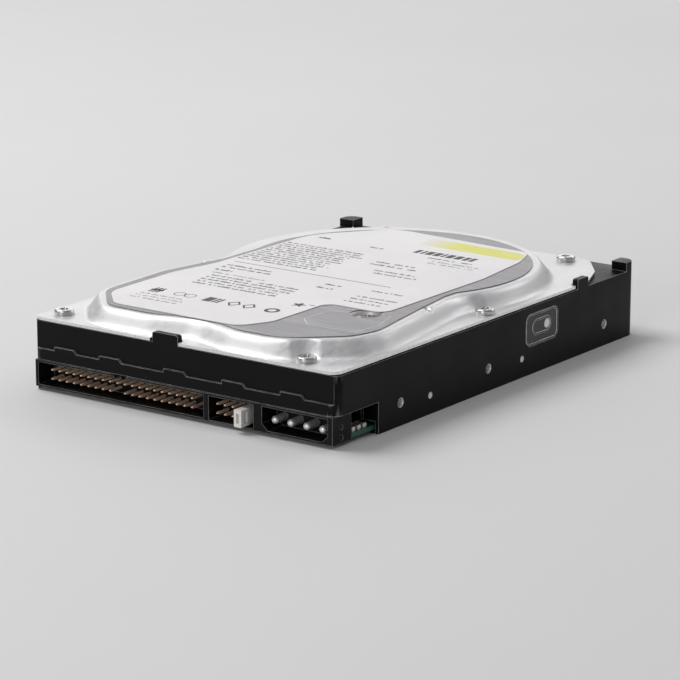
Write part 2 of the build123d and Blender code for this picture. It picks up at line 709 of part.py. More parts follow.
with BuildPart() as power_pins:
    for x, z in POWER_PINS:
        nose = FRONT_Y + 1.6
        with BuildSketch(Plane.YZ.offset(x)):
            with BuildLine():
                Polyline((nose + 7.4, z + POWER_PIN_R), (nose + 7.4, z), (nose, z), (nose, z + 0.3))
                ThreePointArc((nose, z + 0.3), (nose + 0.25, z + 0.8), (nose + 1.0, z + POWER_PIN_R))
                Line((nose + 1.0, z + POWER_PIN_R), (nose + 7.4, z + POWER_PIN_R))
            make_face()
        revolve(axis=Axis((x, 0, z), (0, 1, 0)))
        with BuildSketch(Plane.YZ.offset(x - 0.6)):
            with BuildLine():
                Polyline((FRONT_Y + 8.8, z - 0.3), (FRONT_Y + 8.8, z + 0.3), (FRONT_Y + 13.0, z + 0.3),
                         (FRONT_Y + 13.0, BOARD_TOP_Z), (FRONT_Y + 12.4, BOARD_TOP_Z),
                         (FRONT_Y + 12.4, z - 0.3), close=True)
            make_face()
        extrude(amount=1.2)
power_pins.part.label = "power_pins"
export_step(power_pins.part, "parts/power_pins.step")

# Jumper shunt: a white cap on the last pair of jumper pins, with its folded contact.
SHUNT_X = JUMPER_X0 + PITCH * SHUNT_COLUMN
SHUNT_LENGTH = 6.9
SHUNT_BORE = 1.2
LEAF_GAP = 0.05
LEAF_T = 0.18

with BuildPart() as jumper_clip:
    for row_z in JUMPER_ROWS_Z:
        with BuildSketch(FRONT_PLANE.offset(0.7)):
            with Locations((SHUNT_X + HALF_PIN + LEAF_GAP + LEAF_T / 2, row_z)):
                Rectangle(LEAF_T, 0.9)
        extrude(amount=-4.6)
    with BuildSketch(FRONT_PLANE.offset(0.7)):
        with Locations((SHUNT_X + HALF_PIN + LEAF_GAP + LEAF_T / 2, JUMPER_Z)):
            Rectangle(LEAF_T, JUMPER_ROWS_Z[1] - JUMPER_ROWS_Z[0] + 0.9)
    extrude(amount=-0.5)
jumper_clip.part.label = "jumper_clip"
export_step(jumper_clip.part, "parts/jumper_clip.step")

with BuildPart() as jumper_shunt:
    with BuildSketch(FRONT_PLANE.offset(SHUNT_PROUD)):
        with Locations((SHUNT_X, JUMPER_Z)):
            RectangleRounded(2.4, 4.7, 0.25)
    extrude(amount=-SHUNT_LENGTH)
    with BuildSketch(FRONT_PLANE.offset(SHUNT_PROUD - SHUNT_LENGTH)):
        with Locations((SHUNT_X, JUMPER_ROWS_Z[0]), (SHUNT_X, JUMPER_ROWS_Z[1])):
            Rectangle(SHUNT_BORE, SHUNT_BORE)
    extrude(amount=5.1, mode=Mode.SUBTRACT)
    # Probe opening in the front face and a grip slot in each side.
    with BuildSketch(FRONT_PLANE.offset(SHUNT_PROUD)):
        with Locations((SHUNT_X, JUMPER_Z)):
            Rectangle(1.0, 2.6)
    extrude(amount=-1.0, mode=Mode.SUBTRACT)
    for side in (-1, 1):
        with BuildSketch(Plane.YZ.offset(SHUNT_X + side * 1.2)):
            with Locations((FRONT_Y - 0.6, JUMPER_Z)):
                Rectangle(1.4, 2.8)
        extrude(amount=-side * 0.3, mode=Mode.SUBTRACT)
    add(jumper_clip.part, mode=Mode.SUBTRACT)
jumper_shunt.part.label = "jumper_shunt"
export_step(jumper_shunt.part, "parts/jumper_shunt.step")

# ---------------------------------------------------------------- spindle motor, fixed side
HUB_CUP_R = 10.8
SHAFT_R = 2.0
SLEEVE_R = 4.5
FLANGE_BOTTOM_Z = 1.4
STATOR_Z = 9.2
STATOR_T = 3.4
HUB_ROOF_Z = 16.6
HUB_TOP_Z = 18.6
STATOR_TEETH = 9

with BuildPart() as motor_flange:
    with BuildSketch(Plane.XY.offset(FLANGE_BOTTOM_Z)):
        with Locations(SPINDLE):
            Circle(MOTOR_SEAT_R)
            with PolarLocations(MOTOR_SCREW_CIRCLE_R, 3):
                Circle(0.9, mode=Mode.SUBTRACT)
    extrude(amount=MOTOR_SEAT_Z - FLANGE_BOTTOM_Z)
    for radius, low_z, high_z in ((MOTOR_BORE_R, MOTOR_SEAT_Z, FLOOR_Z), (6.4, FLOOR_Z, STATOR_Z),
                                  (5.4, STATOR_Z, 13.0)):
        with BuildSketch(Plane.XY.offset(low_z)):
            with Locations(SPINDLE):
                Circle(radius)
        extrude(amount=high_z - low_z)
    with BuildSketch(Plane.XY.offset(FLANGE_BOTTOM_Z + 0.8)):
        with Locations(SPINDLE):
            Circle(SLEEVE_R)
    extrude(amount=FLOOR_Z + 6, mode=Mode.SUBTRACT)
motor_flange.part.label = "motor_flange"
export_step(motor_flange.part, "parts/motor_flange.step")

with BuildPart() as motor_screws:
    with Locations(SPINDLE):
        with PolarLocations(MOTOR_SCREW_CIRCLE_R, 3):
            with Locations(Location((0, 0, FLANGE_BOTTOM_Z), (180, 0, 0))):
                add(torx_screw(1.6, 0.6, 0.87, 4.8, 0))
motor_screws.part.label = "motor_screws"
export_step(motor_screws.part, "parts/motor_screws.step")

with BuildPart() as bearing_sleeve:
    with BuildSketch(Plane.XY.offset(FLANGE_BOTTOM_Z + 0.8)):
        with Locations(SPINDLE):
            Circle(SLEEVE_R)
            Circle(SHAFT_R + RUNNING_GAP, mode=Mode.SUBTRACT)
    extrude(amount=HUB_ROOF_Z - 0.4 - FLANGE_BOTTOM_Z - 0.8)
bearing_sleeve.part.label = "bearing_sleeve"
export_step(bearing_sleeve.part, "parts/bearing_sleeve.step")

with BuildPart() as stator_core:
    with BuildSketch(Plane.XY.offset(STATOR_Z)):
        with Locations(SPINDLE):
            Circle(6.7)
            with PolarLocations(8.0, STATOR_TEETH):
                Rectangle(2.8, 1.2)
                with Locations((1.2, 0)):
                    Rectangle(0.5, 4.2)
            Circle(5.4, mode=Mode.SUBTRACT)
    extrude(amount=STATOR_T)
stator_core.part.label = "stator_core"
export_step(stator_core.part, "parts/stator_core.step")

with BuildPart() as stator_windings:
    with BuildSketch(Plane.XY.offset(STATOR_Z - 0.8)):
        with Locations(SPINDLE):
            with PolarLocations(7.75, STATOR_TEETH):
                RectangleRounded(1.7, 2.8, 0.4)
    extrude(amount=STATOR_T + 1.6)
    add(stator_core.part, mode=Mode.SUBTRACT)
stator_windings.part.label = "stator_windings"
export_step(stator_windings.part, "parts/stator_windings.step")

# ---------------------------------------------------------------- spindle, turning side
with BuildPart() as spindle_shaft:
    with BuildSketch(Plane.XY.offset(FLANGE_BOTTOM_Z + 1.2)):
        with Locations(SPINDLE):
            Circle(SHAFT_R)
    extrude(amount=HUB_TOP_Z - FLANGE_BOTTOM_Z - 1.2)
    chamfer(spindle_shaft.edges().filter_by(GeomType.CIRCLE), 0.3)
spindle_shaft.part.label = "spindle_shaft"
export_step(spindle_shaft.part, "parts/spindle_shaft.step")

with BuildPart() as spindle_hub:
    with BuildSketch(Plane.XY.offset(8.4)):
        with Locations(SPINDLE):
            Circle(PLATTER_BORE_R)
    extrude(amount=HUB_TOP_Z - 8.4)
    with BuildSketch(Plane.XY.offset(LOW_PLATTER_Z)):
        with Locations(SPINDLE):
            Circle(16.0)
    extrude(amount=-1.6)
    with BuildSketch(Plane.XY.offset(8.4)):
        with Locations(SPINDLE):
            Circle(HUB_CUP_R)
    extrude(amount=HUB_ROOF_Z - 8.4, mode=Mode.SUBTRACT)
    with BuildSketch(Plane.XY.offset(HUB_TOP_Z)):
        with Locations(SPINDLE):
            Circle(SHAFT_R)
            with PolarLocations(9.0, 6):
                Circle(0.85)
    extrude(amount=-2.5, mode=Mode.SUBTRACT)
spindle_hub.part.label = "spindle_hub"
export_step(spindle_hub.part, "parts/spindle_hub.step")

with BuildPart() as rotor_magnet:
    with BuildSketch(Plane.XY.offset(8.6)):
        with Locations(SPINDLE):
            Circle(HUB_CUP_R)
            Circle(HUB_CUP_R - 1.0, mode=Mode.SUBTRACT)
    extrude(amount=5.0)
rotor_magnet.part.label = "rotor_magnet"
export_step(rotor_magnet.part, "parts/rotor_magnet.step")

with BuildPart() as platters:
    for low_z in (LOW_PLATTER_Z, LOW_PLATTER_Z + PLATTER_T + PLATTER_GAP):
        with BuildSketch(Plane.XY.offset(low_z)):
            with Locations(SPINDLE):
                Circle(PLATTER_R)
                Circle(PLATTER_BORE_R, mode=Mode.SUBTRACT)
        extrude(amount=PLATTER_T)
    chamfer(platters.edges().filter_by(lambda edge: edge.length > 6 * PLATTER_R), 0.2)
platters.part.label = "platters"
export_step(platters.part, "parts/platters.step")

with BuildPart() as platter_spacer:
    with BuildSketch(Plane.XY.offset(LOW_PLATTER_Z + PLATTER_T)):
        with Locations(SPINDLE):
            Circle(16.0)
            Circle(PLATTER_BORE_R, mode=Mode.SUBTRACT)
    extrude(amount=PLATTER_GAP)
platter_spacer.part.label = "platter_spacer"
export_step(platter_spacer.part, "parts/platter_spacer.step")

STACK_TOP_Z = HIGH_PLATTER_Z + PLATTER_T
with BuildPart() as disk_clamp:
    with BuildSketch(Plane.XY.offset(STACK_TOP_Z)):
        with Locations(SPINDLE):
            Circle(16.4)
            Circle(PLATTER_BORE_R + 0.3, mode=Mode.SUBTRACT)
    extrude(amount=HUB_TOP_Z - STACK_TOP_Z)
    with BuildSketch(Plane.XY.offset(HUB_TOP_Z)):
        with Locations(SPINDLE):
            Circle(16.4)
            Circle(4.5, mode=Mode.SUBTRACT)
            with PolarLocations(9.0, 6):
                Circle(0.95, mode=Mode.SUBTRACT)
    extrude(amount=1.0)
    chamfer(disk_clamp.edges().filter_by(GeomType.CIRCLE).group_by(Axis.Z)[-1].filter_by(
        lambda edge: edge.length > 90), 0.5)
disk_clamp.part.label = "disk_clamp"
export_step(disk_clamp.part, "parts/disk_clamp.step")

with BuildPart() as clamp_screws:
    with Locations(SPINDLE):
        with PolarLocations(9.0, 6):
            add(torx_screw(1.7, 0.8, 0.83, 2.9, HUB_TOP_Z + 1.0))
clamp_screws.part.label = "clamp_screws"
export_step(clamp_screws.part, "parts/clamp_screws.step")

# ---------------------------------------------------------------- actuator
COIL_ANGLE = REST_ANGLE + 180
SHAFT_TOP_Z = PLATEAU_Z - 2.4
PIVOT_R = 2.5
BARREL_R = 7.0
COIL_Z = 12.5
COIL_T = 2.2
LOW_ARM_Z = 10.63
MID_ARM_Z = 14.50
TOP_ARM_Z = 18.37
ARM_T = 1.14


def polar(radius, angle):
    """A point at a radius and angle from the pivot."""
    return (PIVOT[0] + radius * math.cos(math.radians(angle)),
            PIVOT[1] + radius * math.sin(math.radians(angle)))


def sector(inner, outer, start, end, mode=Mode.ADD):
    """A ring sector about the pivot, between two angles."""
    with BuildLine() as outline:
        CenterArc(PIVOT, inner, start, end - start)
        CenterArc(PIVOT, outer, start, end - start)
        Line(polar(inner, start), polar(outer, start))
        Line(polar(inner, end), polar(outer, end))
    make_face(outline.edges(), mode=mode)


def along_arm(near, far, near_half, far_half):
    """A tapering bar from the pivot towards the heads, in the parked direction."""
    ends = []
    for radius, half in ((near, near_half), (far, far_half)):
        reach = math.hypot(radius, half)
        spread = math.degrees(math.atan2(half, radius))
        ends.append((polar(reach, REST_ANGLE - spread), polar(reach, REST_ANGLE + spread)))
    with BuildLine() as outline:
        Polyline(ends[0][0], ends[1][0], ends[1][1], ends[0][1], close=True)
    make_face(outline.edges())


with BuildPart() as pivot_shaft:
    with BuildSketch(Plane.XY.offset(FLOOR_Z + 0.6)):
        with Locations(PIVOT):
            Circle(PIVOT_R)
    extrude(amount=SHAFT_TOP_Z - FLOOR_Z - 0.6)
    with BuildSketch(Plane.XY.offset(FLOOR_Z + 0.6)):
        with Locations(PIVOT):
            Circle(1.45)
    extrude(amount=-4.0)
    with BuildSketch(Plane.XY.offset(SHAFT_TOP_Z)):
        with Locations(PIVOT):
            Circle(1.48)
    extrude(amount=-5.0, mode=Mode.SUBTRACT)
pivot_shaft.part.label = "pivot_shaft"
export_step(pivot_shaft.part, "parts/pivot_shaft.step")

with BuildPart() as pivot_sleeve:
    with BuildSketch(Plane.XY.offset(9.0)):
        with Locations(PIVOT):
            Circle(5.0)
            Circle(PIVOT_R + RUNNING_GAP, mode=Mode.SUBTRACT)
    extrude(amount=11.8)
pivot_sleeve.part.label = "pivot_sleeve"
export_step(pivot_sleeve.part, "parts/pivot_sleeve.step")

with BuildPart() as actuator_carriage:
    with BuildSketch(Plane.XY.offset(9.2)):
        with Locations(PIVOT):
            Circle(BARREL_R)
        along_arm(0.5, 11.5, 6.2, 5.6)
    extrude(amount=11.4)
    for low_z in (LOW_ARM_Z, MID_ARM_Z, TOP_ARM_Z):
        with BuildSketch(Plane.XY.offset(low_z)):
            along_arm(5.0, 33.0, 5.6, 2.2)
            with Locations(polar(16.5, REST_ANGLE)):
                Circle(2.0, mode=Mode.SUBTRACT)
            with Locations(polar(22.5, REST_ANGLE)):
                Circle(1.5, mode=Mode.SUBTRACT)
        extrude(amount=ARM_T)
    with BuildSketch(Plane.XY.offset(9.2)):
        with Locations(PIVOT):
            Circle(5.0)
    extrude(amount=11.4, mode=Mode.SUBTRACT)
actuator_carriage.part.label = "actuator_carriage"
export_step(actuator_carriage.part, "parts/actuator_carriage.step")

SLIDER_HEIGHTS = (
    LOW_PLATTER_Z - FLY_GAP - SLIDER_T,
    LOW_PLATTER_Z + PLATTER_T + FLY_GAP,
    HIGH_PLATTER_Z - FLY_GAP - SLIDER_T,
    HIGH_PLATTER_Z + PLATTER_T + FLY_GAP,
)
BLADE_HEIGHTS = (LOW_ARM_Z + ARM_T, MID_ARM_Z - BLADE_T, MID_ARM_Z + ARM_T, TOP_ARM_Z - BLADE_T)

with BuildPart() as suspensions:
    for low_z in BLADE_HEIGHTS:
        with BuildSketch(Plane.XY.offset(low_z)):
            along_arm(28.5, HEAD_R + 0.6, 2.0, 0.6)
            with Locations(polar(38.0, REST_ANGLE)):
                Circle(0.6, mode=Mode.SUBTRACT)
        extrude(amount=BLADE_T)
suspensions.part.label = "suspensions"
export_step(suspensions.part, "parts/suspensions.step")

with BuildPart() as sliders:
    for low_z in SLIDER_HEIGHTS:
        with BuildSketch(Plane.XY.offset(low_z)):
            with Locations(Location((*polar(HEAD_R - 0.2, REST_ANGLE), 0), (0, 0, REST_ANGLE))):
                Rectangle(1.2, 1.0)
        extrude(amount=SLIDER_T)
sliders.part.label = "sliders"
export_step(sliders.part, "parts/sliders.step")

with BuildPart() as coil_frame:
    with BuildSketch(Plane.XY.offset(COIL_Z + 0.1)):
        sector(BARREL_R, 27.2, COIL_ANGLE - 18.5, COIL_ANGLE + 18.5)
        sector(14.0, 25.8, COIL_ANGLE - 15.5, COIL_ANGLE + 15.5, Mode.SUBTRACT)
    extrude(amount=COIL_T - 0.2)
coil_frame.part.label = "coil_frame"
export_step(coil_frame.part, "parts/coil_frame.step")

with BuildPart() as voice_coil:
    with BuildSketch(Plane.XY.offset(COIL_Z)):
        sector(14.0, 25.8, COIL_ANGLE - 15.5, COIL_ANGLE + 15.5)
        sector(17.5, 22.3, COIL_ANGLE - 8, COIL_ANGLE + 8, Mode.SUBTRACT)
    extrude(amount=COIL_T)
voice_coil.part.label = "voice_coil"
export_step(voice_coil.part, "parts/voice_coil.step")

with BuildPart() as preamp_flex:
    with BuildSketch(Plane.XY.offset(10.3)):
        sector(BARREL_R, BARREL_R + 0.25, 164, 196)
    extrude(amount=5.4)
preamp_flex.part.label = "preamp_flex"
export_step(preamp_flex.part, "parts/preamp_flex.step")

# ---------------------------------------------------------------- voice-coil magnets and yokes
YOKE_T = 1.8
LOW_YOKE_Z = FLOOR_Z
UPPER_YOKE_Z = 17.7
MAGNET_T = 2.2
YOKE_LIMIT_X = 46.8


def yoke_plate(low_z):
    """A flat steel yoke with the holes for its two posts."""
    with BuildPart() as plate:
        with BuildSketch(Plane.XY.offset(low_z)):
            sector(13.4, 27.6, 225, 320)
            with Locations((YOKE_LIMIT_X - 30, PIVOT[1])):
                Rectangle(60, 60, mode=Mode.INTERSECT)
            with Locations(*YOKE_POSTS):
                Circle(INNER_TAP_R, mode=Mode.SUBTRACT)
        extrude(amount=YOKE_T)
    return plate


def yoke_magnet(low_z):
    """A kidney-shaped magnet bonded to its yoke."""
    with BuildPart() as magnet:
        with BuildSketch(Plane.XY.offset(low_z)):
            sector(13.6, 26.6, 239, 302)
        extrude(amount=MAGNET_T)
        fillet(magnet.edges().filter_by(Axis.Z), 1.2)
    return magnet


lower_yoke = yoke_plate(LOW_YOKE_Z)
lower_yoke.part.label = "lower_yoke"
export_step(lower_yoke.part, "parts/lower_yoke.step")

lower_magnet = yoke_magnet(LOW_YOKE_Z + YOKE_T)
lower_magnet.part.label = "lower_magnet"
export_step(lower_magnet.part, "parts/lower_magnet.step")

upper_yoke = yoke_plate(UPPER_YOKE_Z)
upper_yoke.part.label = "upper_yoke"
export_step(upper_yoke.part, "parts/upper_yoke.step")

upper_magnet = yoke_magnet(UPPER_YOKE_Z - MAGNET_T)
upper_magnet.part.label = "upper_magnet"
export_step(upper_magnet.part, "parts/upper_magnet.step")

with BuildPart() as yoke_posts:
    with BuildSketch(Plane.XY.offset(LOW_YOKE_Z + YOKE_T)):
        with Locations(*YOKE_POSTS):
            Circle(1.6)
            Circle(INNER_TAP_R, mode=Mode.SUBTRACT)
    extrude(amount=UPPER_YOKE_Z - LOW_YOKE_Z - YOKE_T)
yoke_posts.part.label = "yoke_posts"
export_step(yoke_posts.part, "parts/yoke_posts.step")

with BuildPart() as yoke_screws:
    with Locations(*YOKE_POSTS):
        add(torx_screw(1.7, 0.9, 0.82, UPPER_YOKE_Z + YOKE_T - FLOOR_Z + 2.0, UPPER_YOKE_Z + YOKE_T))
yoke_screws.part.label = "yoke_screws"
export_step(yoke_screws.part, "parts/yoke_screws.step")

with BuildPart() as crash_stops:
    with BuildSketch(Plane.XY.offset(FLOOR_Z)):
        with Locations(polar(11.5, 226.9), polar(11.5, 312.8)):
            Circle(1.5)
    extrude(amount=COIL_Z + COIL_T + 0.6 - FLOOR_Z)
    fillet(crash_stops.edges().group_by(Axis.Z)[-1], 0.4)
crash_stops.part.label = "crash_stops"
export_step(crash_stops.part, "parts/crash_stops.step")

with BuildPart() as latch_magnet:
    with BuildSketch(Plane.XY.offset(LOW_YOKE_Z + YOKE_T)):
        with Locations(polar(15.8, 309.4)):
            Circle(1.2)
    extrude(amount=COIL_Z + COIL_T + 0.2 - LOW_YOKE_Z - YOKE_T)
latch_magnet.part.label = "latch_magnet"
export_step(latch_magnet.part, "parts/latch_magnet.step")

# ---------------------------------------------------------------- flexible circuit
with BuildPart() as flex_bracket:
    with BuildSketch(Plane.XY.offset(FLOOR_Z)):
        with Locations(at(-2, 26)):
            RectangleRounded(26, 13, 2)
        with Locations(HEAD_PORT):
            Rectangle(16.6, 4.4, mode=Mode.SUBTRACT)
        with Locations(*BRACKET_SCREWS):
            Circle(INNER_TAP_R, mode=Mode.SUBTRACT)
    extrude(amount=1.0)
    with BuildSketch(Plane.XY.offset(FLOOR_Z)):
        with Locations(at(2, 32.0)):
            Rectangle(12, 1.0)
    extrude(amount=8.2)
flex_bracket.part.label = "flex_bracket"
export_step(flex_bracket.part, "parts/flex_bracket.step")

with BuildPart() as flex_bracket_screws:
    with Locations(*BRACKET_SCREWS):
        add(torx_screw(1.7, 0.8, 0.82, 3.0, FLOOR_Z + 1.0))
flex_bracket_screws.part.label = "flex_bracket_screws"
export_step(flex_bracket_screws.part, "parts/flex_bracket_screws.step")

FLEX_T = 0.16
with BuildPart() as flex_cable:
    with BuildSketch(Plane.XY.offset(10.3)):
        with BuildLine():
            FilletPolyline(at(-3, 32.5 + FLEX_T / 2), at(15.5, 32.5 + FLEX_T / 2), at(15.5, 44.5),
                           at(23.9, 40.5), radius=[3.5, 3.0])
        trace(line_width=FLEX_T)
    extrude(amount=5.4)
flex_cable.part.label = "flex_cable"
export_step(flex_cable.part, "parts/flex_cable.step")
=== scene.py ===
"""The looks of a 3.5 inch hard disk drive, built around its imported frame.

Pieces are worked out in millimetres in the frame's axes and scaled to metres when a mesh is made.
"""
import bmesh
import bpy
import math
import random
import numpy as np
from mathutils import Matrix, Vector
from mathutils.geometry import delaunay_2d_cdt


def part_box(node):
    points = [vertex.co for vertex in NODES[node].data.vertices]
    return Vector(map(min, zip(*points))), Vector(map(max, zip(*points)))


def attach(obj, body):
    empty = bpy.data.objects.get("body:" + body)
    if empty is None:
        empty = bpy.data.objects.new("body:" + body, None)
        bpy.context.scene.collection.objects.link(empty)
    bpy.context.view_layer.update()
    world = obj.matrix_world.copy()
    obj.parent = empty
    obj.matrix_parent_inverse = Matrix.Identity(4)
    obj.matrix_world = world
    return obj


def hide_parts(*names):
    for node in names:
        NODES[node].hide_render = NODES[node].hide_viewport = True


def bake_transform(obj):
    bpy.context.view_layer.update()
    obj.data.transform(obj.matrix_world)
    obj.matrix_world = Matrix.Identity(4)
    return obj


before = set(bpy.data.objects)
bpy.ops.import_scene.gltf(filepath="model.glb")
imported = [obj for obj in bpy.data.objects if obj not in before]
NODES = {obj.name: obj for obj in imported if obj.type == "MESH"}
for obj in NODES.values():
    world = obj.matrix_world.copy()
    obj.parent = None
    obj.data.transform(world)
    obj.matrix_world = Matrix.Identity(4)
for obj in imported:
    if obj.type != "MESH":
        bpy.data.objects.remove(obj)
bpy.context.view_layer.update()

MM = 0.001


def span(node):
    """(lowest corner, highest corner) of a CAD node, in millimetres."""
    low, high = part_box(node)
    return [value / MM for value in low], [value / MM for value in high]


def centre(node):
    """(x, y) of the middle of a CAD node, in millimetres."""
    low, high = span(node)
    return ((low[0] + high[0]) / 2, (low[1] + high[1]) / 2)


# -------- places taken from the frame
FRONT_Y = span("connector_housing")[0][1]
SIDE_X = span("base_casting")[1][0]
FLANGE_Z = span("cover_gasket")[1][2]
SHEET_T = 0.8
FLANGE_TOP_Z = FLANGE_Z + SHEET_T
PLATEAU_Z = span("damper_plate")[0][2]
DAMPER_TOP_Z = span("damper_plate")[1][2]
TOP_Z = span("product_label")[1][2]
BOARD_Z = span("circuit_board")[0][2]
SPINDLE = centre("platters")
PIVOT = centre("pivot_sleeve")


def at(x, depth):
    """A point given by its x and its distance behind the connector face."""
    return (x, FRONT_Y + depth)


def at_box(x0, depth0, x1, depth1):
    """(x0, y0, x1, y1) of a rectangle given by two opposite corners."""
    return (*at(x0, depth0), *at(x1, depth1))


# -------- node materials
class Shade:
    """Short calls that wire a procedural material."""

    def __init__(self, name, color, rough, metal=0.0, **sockets):
        self.mat = bpy.data.materials.new(name)
        self.mat.use_nodes = True
        self.tree = self.mat.node_tree
        self.bsdf = self.tree.nodes["Principled BSDF"]
        self.bsdf.inputs["Base Color"].default_value = (*color, 1.0)
        self.bsdf.inputs["Roughness"].default_value = rough
        self.bsdf.inputs["Metallic"].default_value = metal
        for socket, value in sockets.items():
            self.bsdf.inputs[socket.replace("_", " ")].default_value = value
        self.coords = self.tree.nodes.new("ShaderNodeTexCoord").outputs["Object"]
        self.mat.diffuse_color = (*color, 1.0)

    def node(self, kind, links=None, **settings):
        made = self.tree.nodes.new("ShaderNode" + kind)
        for name, value in settings.items():
            setattr(made, name, value)
        for socket, value in (links or {}).items():
            if isinstance(value, bpy.types.NodeSocket):
                self.tree.links.new(value, made.inputs[socket])
            else:
                made.inputs[socket].default_value = value
        return made

    def noise(self, scale, detail=4.0, rough=0.55, stretch=None):
        """Noise whose features are about 1/scale metres across, optionally stretched along an axis."""
        vector = self.coords
        if stretch:
            vector = self.node("Mapping", {"Vector": vector, "Scale": stretch}).outputs["Vector"]
        return self.node("TexNoise", {"Vector": vector, "Scale": scale, "Detail": detail,
                                      "Roughness": rough}).outputs["Fac"]

    def spread(self, value, low, high, start=0.3, end=0.7):
        """Maps a noise value between two numbers."""
        return self.node("MapRange", {"Value": value, "From Min": start, "From Max": end,
                                      "To Min": low, "To Max": high}).outputs["Result"]

    def mix(self, factor, first, second):
        made = self.node("Mix", data_type="RGBA")
        for index, value in ((0, factor), (6, first), (7, second)):
            if isinstance(value, bpy.types.NodeSocket):
                self.tree.links.new(value, made.inputs[index])
            else:
                made.inputs[index].default_value = value if index == 0 else (*value, 1.0)
        return made.outputs[2]

    def color(self, value):
        self.tree.links.new(value, self.bsdf.inputs["Base Color"])
        return self

    def rough(self, value):
        self.tree.links.new(value, self.bsdf.inputs["Roughness"])
        return self

    def math(self, operation, *values):
        """The result of a Math node on numbers or sockets."""
        return self.node("Math", dict(enumerate(values)), operation=operation).outputs[0]

    def bump(self, value, strength, distance_mm):
        made = self.node("Bump", {"Height": value, "Strength": strength, "Distance": distance_mm * MM})
        below = self.bsdf.inputs["Normal"]
        if below.is_linked:
            self.tree.links.new(below.links[0].from_socket, made.inputs["Normal"])
        self.tree.links.new(made.outputs["Normal"], below)
        return self

    def painted_edge_highlight(self, radius_mm, color, start=0.86, patches=300):
        """Paints a highlight along its sharp edges, in patches: a lighter colour where the rounded-edge
        normal turns away from the face.
        """
        soft = self.node("Bevel", {"Radius": radius_mm * MM}, samples=6).outputs["Normal"]
        true = self.node("NewGeometry").outputs["True Normal"]
        facing = self.node("VectorMath", {0: soft, 1: true}, operation="DOT_PRODUCT").outputs["Value"]
        edge = self.spread(facing, 1, 0, start, 0.985)
        # Noise breaks the painted highlight into patches.
        highlight_patches = self.spread(self.noise(patches, 3.0), 0.45, 1.0)
        base = self.bsdf.inputs["Base Color"].links[0].from_socket
        return self.color(self.mix(self.math("MULTIPLY", edge, highlight_patches), base, color))


def scaled(color, factor):
    return tuple(min(1.0, channel * factor) for channel in color)


def plain(name, color, rough, metal=0.0, tone=0.12, scale=220, grain=1800, relief=0.05, **sockets):
    """A material with soft colour and gloss variation and a fine surface grain."""
    shade = Shade(name, color, rough, metal, **sockets)
    soft = shade.noise(scale)
    shade.color(shade.mix(shade.spread(soft, 0, 1), scaled(color, 1 - tone), scaled(color, 1 + tone)))
    shade.rough(shade.spread(shade.noise(scale * 2.3), rough * 0.85, rough * 1.15))
    shade.bump(shade.noise(grain, 2.0), relief, 0.03)
    return shade.mat


def brushed(name, color, rough, stretch, grain=900, relief=0.05, metal=1.0, tone=0.08):
    """Metal with a fine directional grain."""
    shade = Shade(name, color, rough, metal)
    lines = shade.noise(grain, 3.0, 0.6, stretch)
    soft = shade.noise(60, 3.0)
    share = shade.spread(shade.math("ADD", lines, soft), 0, 1, 0.75, 1.25)
    shade.color(shade.mix(share, scaled(color, 1 - tone), scaled(color, 1 + tone)))
    shade.rough(shade.spread(lines, rough * 0.8, rough * 1.2))
    shade.bump(lines, relief, 0.02)
    return shade.mat


def casting_coat(name, color, rough):
    """Black electrocoat over a die casting: faint orange peel, dust, flow marks and a painted highlight
    along its edges.
    """
    shade = Shade(name, color, rough, Specular_IOR_Level=0.13)
    cloud = shade.noise(90, 5.0)
    speck = shade.noise(2600, 2.0)
    dust = shade.spread(speck, 0.0, 1.0, 0.66, 0.78)
    tone = shade.mix(shade.spread(cloud, 0, 1), scaled(color, 0.8), scaled(color, 1.35))
    shade.color(shade.mix(dust, tone, scaled(color, 2.6)))
    shade.rough(shade.spread(cloud, rough * 0.85, rough * 1.2))
    shade.bump(shade.noise(1100, 3.0), 0.16, 0.05)
    shade.bump(shade.noise(260, 2.0), 0.10, 0.12)
    # Lighter grey along the sharp edges: a painted highlight.
    return shade.painted_edge_highlight(0.22, (0.6, 0.6, 0.605)).mat


def connector_plastic():
    """Glass-filled black moulding with a fine grain and a pale painted highlight along its edges."""
    color = (0.0035, 0.0035, 0.0038)
    shade = Shade("connector_black", color, 0.42, Specular_IOR_Level=0.18)
    shade.color(shade.mix(shade.spread(shade.noise(500), 0, 1), scaled(color, 0.7), scaled(color, 1.5)))
    shade.rough(shade.spread(shade.noise(700), 0.34, 0.5))
    shade.bump(shade.noise(2600, 2.0), 0.14, 0.03)
    # Pale grey along the sharp edges: a painted highlight.
    return shade.painted_edge_highlight(0.2, (0.5, 0.5, 0.505)).mat


def chip_package(name, middle, width, depth):
    """Moulded epoxy body, with tinned leads wherever the piece reaches past the body's sides."""
    shade = Shade(name, (0.017, 0.017, 0.018), 0.5)
    place = shade.node("SeparateXYZ", {0: shade.coords})
    outside = []
    for axis, centre_mm, size_mm in (("X", middle[0], width), ("Y", middle[1], depth)):
        reach = shade.math("ABSOLUTE", shade.math("SUBTRACT", place.outputs[axis], centre_mm * MM))
        outside.append(shade.math("GREATER_THAN", reach, (size_mm / 2 + 0.02) * MM))
    lead = shade.math("MAXIMUM", *outside)
    body = shade.mix(shade.spread(shade.noise(220), 0, 1), (0.013, 0.013, 0.014), (0.022, 0.022, 0.023))
    shade.color(shade.mix(lead, body, (0.66, 0.65, 0.62)))
    shade.rough(shade.spread(lead, 0.5, 0.25, 0, 1))
    shade.tree.links.new(lead, shade.bsdf.inputs["Metallic"])
    shade.bump(shade.noise(3000, 2.0), 0.25, 0.03)
    return shade.mat


